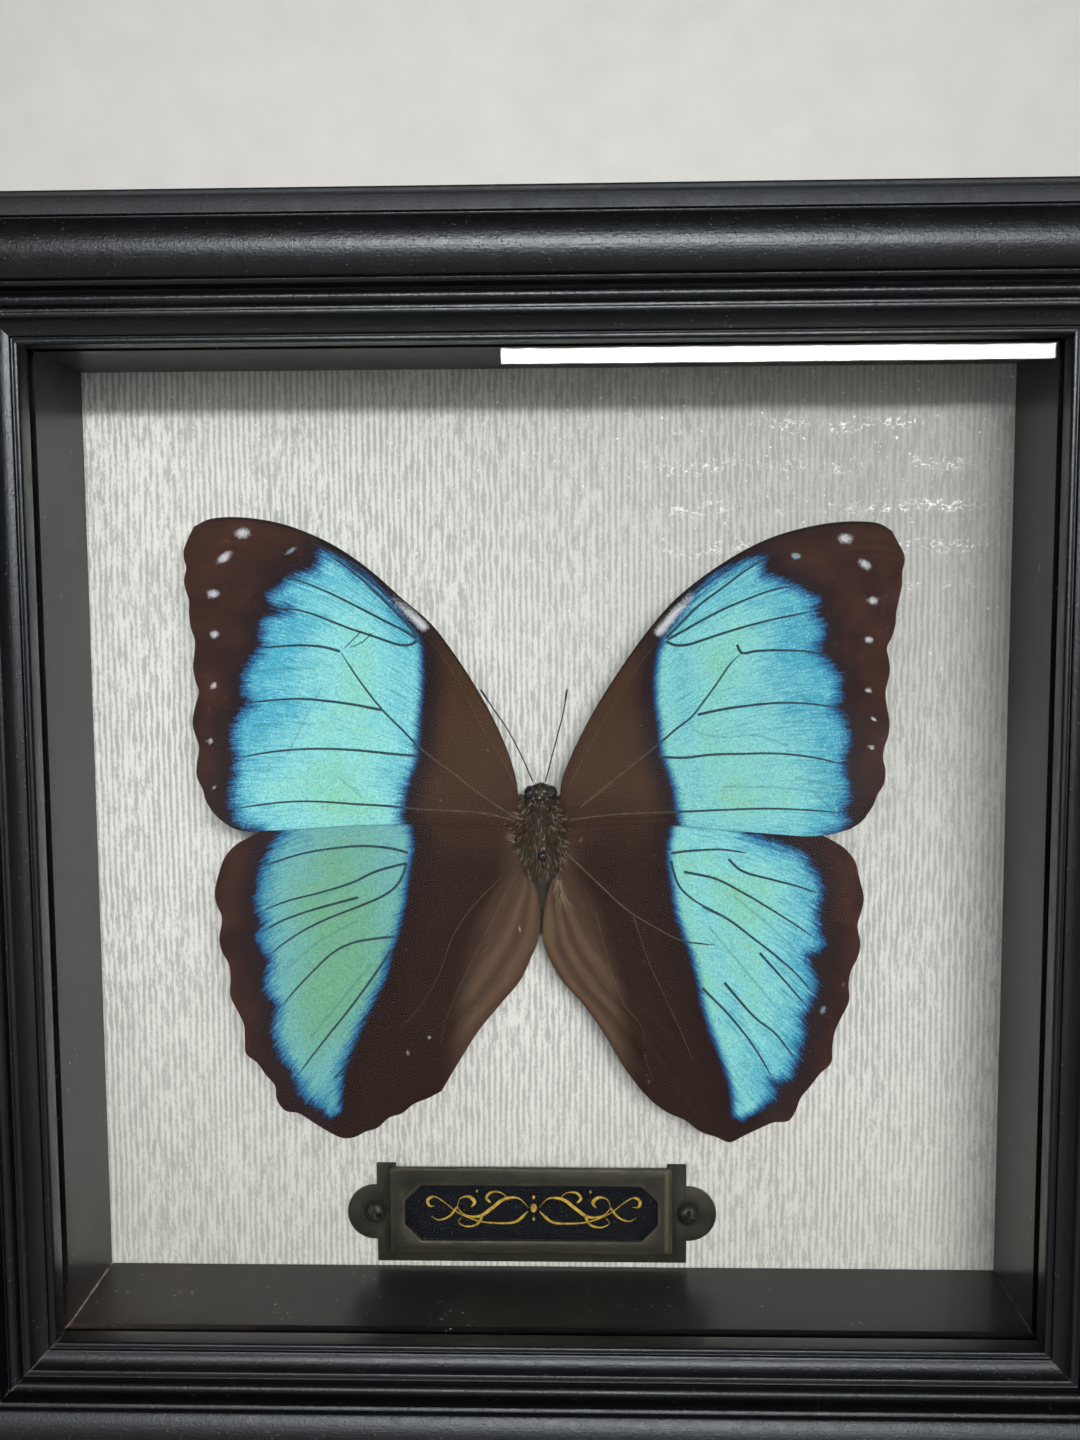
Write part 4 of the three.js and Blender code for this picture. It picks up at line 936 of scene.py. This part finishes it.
def wing_grid(w, steps_out=118, per_span=5):
    """Points and lift of the wing's middle sheet over (out, across). A wing with pleats is a hindwing."""
    lead, trail = (even(catmull(pts(w[k][0]), 30), steps_out) for k in ("leading", "trailing"))
    edge = catmull(pts(w["margin"][0]), per_span)
    out = np.linspace(0, 1, steps_out)[:, None, None]
    across = np.linspace(0, 1, len(edge))[None, :, None]
    root = lead[0] * (1 - across) + trail[0] * across
    lead, trail, edge = lead[:, None], trail[:, None], edge[None]
    p = lead * (1 - across) + trail * across + root * (1 - out) + edge * out
    p = p - (1 - out) * ((1 - across) * lead[0] + across * trail[0])
    p = p - out * ((1 - across) * lead[-1] + across * trail[-1])
    lift = ROOT_LIFT + WING_RISE * np.abs(p[..., 0]) + (-WING_LAP if w["pleats"] else WING_LAP)
    pleat = 0 * lift
    if w["pleats"]:
        way = np.clip((across[..., 0] - PLEAT_START) / (1 - PLEAT_START), 0, 1)
        fade = (4 * out * (1 - out))[..., 0] ** 1.5
        pleat = 0.5 - 0.5 * np.cos(2 * np.pi * float(w["pleats"][0]) * way) + pleat
        lift = lift + PLEAT_DEPTH * fade * way * pleat
    return p, lift, out[..., 0] + 0 * lift, across[..., 0] + 0 * lift, pleat


def segments(lines):
    a, b = [], []
    for line in lines:
        path = catmull(pts(line), 6)
        a.append(path[:-1])
        b.append(path[1:])
    return np.vstack(a), np.vstack(b)


def ellipses(p, texts):
    """How far inside the nearest of the ellipses 'x,z,rx,rz,degrees', 1 at its middle and 0 at its edge."""
    best = np.full(len(p), -3.0)
    for x, z, rx, rz, turn in (row for text in texts for row in pts(text)):
        c, s = math.cos(math.radians(turn)), math.sin(math.radians(turn))
        d = p - [x, z]
        local = np.stack([d @ [c, s] / rx, d @ [-s, c] / rz], 1)
        best = np.maximum(best, 1 - np.linalg.norm(local, axis=1))
    return best


def wing(name):
    """Two sheets with a rim and raised veins, and the numbers that its colours are made from."""
    w = drawing(WINGS[name])
    bright = pts(w["band"][0])
    p, lift, out, across, pleat = wing_grid(w)
    rows, columns = lift.shape
    flat = p.reshape(-1, 2)
    ridge = edge_distance(flat, *segments(w["vein"] + w["thin"])).reshape(rows, columns)
    lift = lift + RIDGE_HEIGHT * np.exp(-(ridge / RIDGE_WIDTH) ** 2)
    lift = lift + RIPPLE_HEIGHT * np.sin(across * RIPPLES) * (out > 0)
    soup = Soup()
    sheets = [on_lift(flat, lift.ravel() + h) for h in (MEMBRANE / 2, -MEMBRANE / 2)]
    uv = np.stack([out.ravel(), across.ravel()], 1) * WING_UV_SIZE
    index = np.arange(rows * columns).reshape(rows, columns)
    back = index + rows * columns
    faces = []
    for grid in (index, back):
        corners = [grid[:-1, :-1], grid[:-1, 1:], grid[1:, 1:], grid[1:, :-1]]
        faces += np.stack(corners, -1).reshape(-1, 4).tolist()
    rim = np.r_[index[0, :-1], index[:-1, -1], index[-1, :0:-1], index[:0:-1, 0]]
    after = np.roll(rim, -1)
    faces += np.stack([rim, after, after + rows * columns, rim + rows * columns], 1).tolist()
    soup.add(np.vstack(sheets), faces, uv=np.vstack([uv, uv]) + WING_UV)
    for lines, width in ((w["vein"], VEIN_RADIUS), (w["thin"], THIN_VEIN_RADIUS)):
        for line in lines:
            path = even(catmull(pts(line), 8), max(6, 5 * len(line.split())))
            nearest = np.array([np.argmin(((flat - q) ** 2).sum(1)) for q in path])
            height = np.convolve(np.pad(lift.ravel()[nearest], 2, "edge"), np.ones(5) / 5, "valid")
            t = np.linspace(0, 1, len(path))
            radius = width * (1 - 0.4 * t) * np.minimum(1, (1 - t) * 8 + 0.35)
            in_brown = inside_distance(path, bright) < -0.5
            radius = radius * np.where(in_brown, BROWN_VEIN_SHARE, 1)
            centre = on_lift(path, height + MEMBRANE / 2 + 0.01)
            verts, tube_faces = tube(centre, radius, 6, VEIN_FLAT)
            soup.add(verts, tube_faces, slot=1, uv=np.full((len(verts), 2), 1.0))
    place = soup.points()[:, [0, 2]]
    band = inside_distance(place, bright)
    # how far out the band's ragged outer part starts, at four heights
    inner_x = np.interp(place[:, 1], [-45, -20, 5, 35], [34, 24.5, 21, 19])
    outer = smoothstep(-1, 3, np.abs(place[:, 0]) - inner_x)
    greens = sum(share * np.exp(-((place - [x, z]) ** 2).sum(1) / radius**2)
                 for x, z, radius, share in pts(w["greens"][0]))
    spot = ellipses(place, w["spots"])
    if w["streak"]:
        a, b = segments(w["streak"])
        fade = np.clip(1.2 - (np.abs(place[:, 0]) - STREAK_START) / 5, 0, 1)
        spot = np.maximum(spot, (1 - edge_distance(place, a, b) / 1.05) * fade - 0.12)
    near_seam = 1 - smoothstep(0, 7.5, np.abs(place[:, 1] - 2))
    dark = 0.85 - 0.3 * near_seam if w["pleats"] else 0.55 * near_seam
    values = {
        "band": band,
        "outer": outer,
        "near": smoothstep(-5, -1, band) * (1 - smoothstep(0, 1, band)),
        "tint": 0.5 + greens,
        "spot": spot,
        "bluish": ellipses(place, w["bluish"]),
        "crease": edge_distance(place, *segments(w["crease"])),
        "pale": (1 - smoothstep(-2, -0.5, band)) * (1 - outer),
        "fold": np.zeros(len(place)),
        # the pleats' phase, which the fold's colour follows as painted light and shade
        "pleat": np.pad(np.tile(pleat.ravel(), 2), (0, len(place) - 2 * pleat.size)),
        "olive": ellipses(place, w["olive"]),
        "dark": dark * (1 - outer),
        "deep": np.full(len(place), float(w["deep"][0])),
    }
    if w["pleats"]:
        # width of the folded inner part beside the body, at four heights
        body_side = np.interp(place[:, 1], [-40, -24, -12, -6], [15, 13, 9.5, 6])
        values["fold"] = 0.9 * (1 - smoothstep(-3, 1.5, np.abs(place[:, 0] + 1) - body_side))
    soup.piece(name + "_scales", [WING, VEIN], name, values, sharp=60)


for name in WINGS:
    wing(name)

# ---- body
LOBES = [  # x, lift, z and the three radii
    (-0.8, 6.0, 7.0, 1.9, 1.8, 1.75),
    (-0.9, 5.6, -0.3, 3, 2.9, 5.8),
    (-0.8, 4, -9.6, 1.9, 1.6, 6.6),
    (-0.8, 5.4, 5.0, 2.6, 2.2, 2.0),
    (-2.6, 5.7, -3.8, 1.5, 1.3, 2.7),
    (1.1, 5.7, -4.2, 1.5, 1.3, 2.7),
]
SHOULDERS = [(-3.7, 6.3, 1.9, 1.35, 1.35, 5.0), (1.9, 6.3, 1.7, 1.4, 1.35, 5.0)]
COATS = [  # number of hairs, length, lean and share of pale ones, for each lobe and shoulder
    (500, 0.6, (0, -0.3, 0.5), 0.04), (4200, 1.2, (0, 0, -0.9), 0.045), (1200, 0.8, (0, 0, -1.2), 0.02),
    (1200, 1.0, (0, 0, -0.5), 0.05), (700, 1.1, (-0.2, 0, -0.9), 0.06), (700, 1.1, (0.2, 0, -0.9), 0.06),
    (1900, 1.1, (-0.9, 0, -0.5), 0.05), (1900, 1.1, (0.9, 0, -0.5), 0.05),
]
EYE_OUT, EYE = 1.65, (6.2, 7.2, 1.0, 1.1, 1.2)  # out from the head's middle, then lift, z and radii
LEG_PLACES = (2.2, -2)  # z of the folded legs' roots
LEG_BENDS = ((0.9, 3.4, 0), (2.2, 1.9, 1), (2.7, 2.6, 3), (1.8, 1.3, 4.5))  # out, lift and along
HAIR_WIDTH, PALE_HAIR_WIDTH, TUFT_HAIR_WIDTH = 0.042, 0.06, 0.034
GLINT_TONE, KNOB_GLINT_TONE = 0.92, 0.97  # tones above about 0.8 are pale, and the pale knobs' colour is a painted glint
HEAD_KNOBS = "-1.5,7.8,0.42 -0.1,7.9,0.4 -0.95,6.8,0.46 0.3,6.6,0.42 -0.5,5.8,0.42"  # x, z, radius
HEAD_FRONT = (-0.8, 6.0, 7.0, 1.9, 2.15, 1.75)  # the knobs' fronts
# Painted highlights: pale knobs on the head and along the thorax stand for glints on glossy bumps.
HEAD_GLINTS = ("-1.4,7.6,0.16 -0.2,7.7,0.16 -0.95,6.7,0.17 0.25,6.4,0.15 -0.55,7.2,0.14 "
               "-1.9,6.5,0.14 -0.5,5.9,0.15")
GLINT_KNOBS = "-0.3,0,0.22 -0.3,-1.45,0.22 -0.3,-3.9,0.24 -0.65,-5.5,0.22 -2.9,-4.4,0.2"
TUFTS = [  # x, lift, z, heading in degrees, count and length of fans of pale hair
    (-4.3, 7.8, 3.8, 165, 16, 1.5), (-4.9, 7.9, 0.4, 150, 12, 1.7), (-5.1, 7.9, -0.6, 140, 10, 1.6),
    (-4.1, 7.8, -2, 200, 12, 1.2), (2.6, 7.8, 3.1, 10, 10, 1.3), (5.4, 8, -0.3, 30, 8, 0.9),
    (2.6, 7.8, -1.3, -30, 8, 1.1), (2.6, 7.6, -3.2, -60, 10, 1.3), (1.9, 7, -7, -85, 26, 3.2),
    (2.6, 7.1, -9, -82, 22, 3.6),
]


def ball(x, lift, z, rx, rl, rz, rings=28, sides=36):
    """An ellipsoid with its poles up and down."""
    polar = np.linspace(0, np.pi, rings)
    turn = around(sides)
    body = [[x + rx * math.sin(a) * math.cos(t), BOX_DEPTH - lift - rl * math.sin(a) * math.sin(t),
             z + rz * math.cos(a)] for a in polar[1:-1] for t in turn]
    verts = np.array(body + [[x, BOX_DEPTH - lift, z + rz], [x, BOX_DEPTH - lift, z - rz]])
    return verts, globe_faces(rings - 2, sides)


def coat(soup, lobe, count, length, lean, pale_share):
    """Hairs over one lobe of the body, lying back along it."""
    x, lift, z, rx, rl, rz = lobe
    u = random.uniform(-1, 1, count)
    t = random.uniform(0.05 * np.pi, 0.95 * np.pi, count)
    s = np.sqrt(1 - u * u)
    normal = np.stack([s * np.cos(t), -s * np.sin(t), u], 1)
    roots = np.array([x, BOX_DEPTH - lift, z]) + normal * [rx, rl, rz] * 0.98
    wild = random.normal(0, 0.35, (count, 3))
    direction = normal * 0.55 + np.array(lean) + wild
    lengths = length * random.uniform(0.55, 1.15, count)
    tone = 0.75 * random.uniform(0, 1, count) ** 2.2
    tone[random.uniform(0, 1, count) < pale_share] = 0.95
    width = np.where(tone > 0.9, PALE_HAIR_WIDTH, HAIR_WIDTH)
    curl = random.normal(0, 0.12, (count, 3)) + [0, 0, -0.15]
    soup.add(*hairs(roots, direction, lengths, width, curl), slot=1)
    return np.repeat(tone, HAIR_POINTS)


def tuft(soup, x, lift, z, heading, count, length):
    """A fan of pale hairs that lies on the root of a wing."""
    a = np.radians(heading) + random.normal(0, 0.28, count)
    direction = np.stack([np.cos(a), random.uniform(-0.3, 0, count), np.sin(a)], 1)
    roots = np.array([x, BOX_DEPTH - lift, z]) + random.normal(0, 0.22, (count, 3))
    lengths = length * random.uniform(0.6, 1.1, count)
    curl = random.normal(0, 0.16, (count, 3))
    soup.add(*hairs(roots, direction, lengths, np.full(count, TUFT_HAIR_WIDTH), curl), slot=1)
    return np.repeat(random.uniform(0.8, 0.95, count), HAIR_POINTS)


def knobs(soup, lobe, text, slot):
    """Small round bumps sunk into the front of a lobe."""
    x0, lift, z0, rx, rl, rz = lobe
    start = soup.count
    for x, z, radius in pts(text):
        rise = rl * math.sqrt(max(0, 1 - ((x - x0) / rx) ** 2 - ((z - z0) / rz) ** 2))
        soup.add(*ball(x, lift + rise, z, radius, radius * 0.8, radius, 12, 14), slot=slot)
    return soup.count - start


def body():
    """Lobes, eyes and folded legs under a coat of hairs. Each hair keeps its tone."""
    soup = Soup()
    for lobe in LOBES + SHOULDERS:
        soup.add(*ball(*lobe))
    knobs(soup, LOBES[0], HEAD_KNOBS, 0)
    for side in (-1, 1):
        soup.add(*ball(-0.8 + side * EYE_OUT, *EYE, 16, 20), slot=2)
    for side in (-1, 1):
        for z in LEG_PLACES:
            way = math.copysign(1, z)
            joints = [[-1 + side * out, BOX_DEPTH - lift, z + way * on] for out, lift, on in LEG_BENDS]
            path = even(catmull(np.array(joints, float)), 24)
            soup.add(*tube(path, np.linspace(0.34, 0.18, 24), 8))
    tones = [np.zeros(soup.count)]
    # pale knobs whose colour is a painted glint
    tones.append(np.full(knobs(soup, HEAD_FRONT, HEAD_GLINTS, 1), GLINT_TONE))
    tones.append(np.full(knobs(soup, LOBES[1], GLINT_KNOBS, 1), KNOB_GLINT_TONE))
    tones += [coat(soup, lobe, *hair) for lobe, hair in zip(LOBES + SHOULDERS, COATS)]
    tones += [tuft(soup, *place) for place in TUFTS]
    soup.piece("hairy_body", [CHITIN, HAIR, ENAMEL], "butterfly_body",
               {"tone": np.concatenate(tones)}, 60)


body()

ANTENNA_RINGS = 30


def antenna(name, text):
    """A thin ringed rod with a slim club, along points of x, lift and z."""
    path = even(catmull(pts(text), 20), 90)
    path = on_lift(path[:, [0, 2]], path[:, 1])
    t = np.linspace(0, 1, len(path))
    club = np.clip((t - 0.86) / 0.14, 0, 1)
    ringed = 0.11 + 0.012 * np.cos(t * 2 * np.pi * ANTENNA_RINGS)
    radius = ringed + 0.07 * np.sin(np.pi * np.minimum(club * 0.9, 1))
    soup = Soup()
    soup.add(*tube(path, radius, 8))
    soup.piece(name + "_rod", [CHITIN], name)


antenna("antenna_left", "-2,6.9,9.1 -4,7.2,13.7 -6,7.5,17.6 -8,7.7,20.6 -10.2,8,24")
antenna("antenna_right", "0,6.9,9.1 0.9,7.2,12.6 1.9,7.4,16.4 2.9,7.6,20.2 3.5,7.8,24")

pin = Soup()
pin_head = [(0.45 + 0.35 * math.sin(math.pi * k / 12), 8.75 + 0.95 * k / 12) for k in range(1, 11)]
pin_shaft = [(0, -1.5), (0.3, -0.95), (0.35, -0.8), (0.35, 8.7)]
pin.add(*turned(pin_shaft + pin_head + [(0.4, 9.62), (0, 9.7)], -0.5, -2.6))
pin.piece("insect_pin", [ENAMEL], "specimen_pin")

# ---- studio
STUDIO, BEND = 2.7, 0.6  # radius of the floor and of the bend up into the backdrop, in metres


def studio():
    profile = [(0.001, 0.0), (0.3, 0.0), (0.8, 0.0), (1.6, 0.0), (STUDIO, 0.0)]
    bend_up = np.linspace(0.1, np.pi / 2, 12)
    profile += [(STUDIO + BEND * math.sin(a), BEND - BEND * math.cos(a)) for a in bend_up]
    profile += [(STUDIO + BEND, 2.4)]
    sides = 96
    verts = [(r * math.cos(t), r * math.sin(t), z) for r, z in profile for t in around(sides)]
    mesh = bpy.data.meshes.new("studio")
    mesh.from_pydata(verts, [], ring_faces(len(profile), sides, caps=False) + [list(range(sides))])
    mesh.materials.append(studio_look())
    mesh.shade_smooth()
    placed("studio", mesh)


studio()


def area_light(name, place, target, size, power, spread=180, glint=False, fill=False):
    """A soft rectangular light. A glint shows in reflections only, and a fill shows in none."""
    data = bpy.data.lights.new(name, "AREA")
    data.shape = "RECTANGLE"
    data.size, data.size_y = size
    data.energy = power
    data.spread = math.radians(spread)
    obj = placed(name, data)
    obj.visible_diffuse = not glint
    obj.visible_glossy = not fill
    obj.visible_transmission = False
    obj.location = place
    obj.rotation_euler = (Vector(target) - Vector(place)).to_track_quat("-Z", "Y").to_euler()


area_light("strip", (0.445, -2.0, 0.505), (0.445, 0, 0.4), (1.12, 0.03), 3.9, spread=80, glint=True)
area_light("key", (0.45, -2.0, 0.69), (0.15, 0, 0.12), (1.0, 0.12), 6.75, spread=80, fill=True)
area_light("window", (-0.12, -2.0, 0.69), (0, 0, 0.12), (0.8, 0.15), 3.9, spread=80, glint=True)
area_light("soft_top", (0.0, -0.4, 2.2), (0, 0, 0.1), (2.2, 2.2), 0.3)
area_light("soft_back", (-0.6, 1.9, 1.4), (0, 0, 0.1), (1.6, 1.2), 20)
area_light("backdrop", (0.0, 0.7, 2.3), (0, 3.2, 0.7), (3.0, 0.8), 35, spread=110)

world = bpy.data.worlds.new("studio_air")
bpy.context.scene.world = world
world.use_nodes = True
air = world.node_tree.nodes["Background"].inputs
air["Color"].default_value = (0.86, 0.87, 0.88, 1)
air["Strength"].default_value = 0.02
bpy.context.scene.view_settings.view_transform = "Standard"

# The camera was fitted to the edges of the sight opening and of the backing in the photo.
camera = placed("camera", bpy.data.cameras.new("camera"))
camera.data.sensor_width = 36.0
camera.data.lens = 34.61
camera.data.clip_start, camera.data.clip_end = 0.01, 20.0
right, up = (0.999598, 0.027849, -0.005306), (0.00273, 0.09173, 0.99578)
back = (0.028218, -0.995394, 0.09162)
turn = Matrix((right, up, back)).transposed()
camera.matrix_world = Matrix.Translation((0.0054, -0.21465, 0.1352)) @ turn.to_4x4()
bpy.context.scene.camera = camera
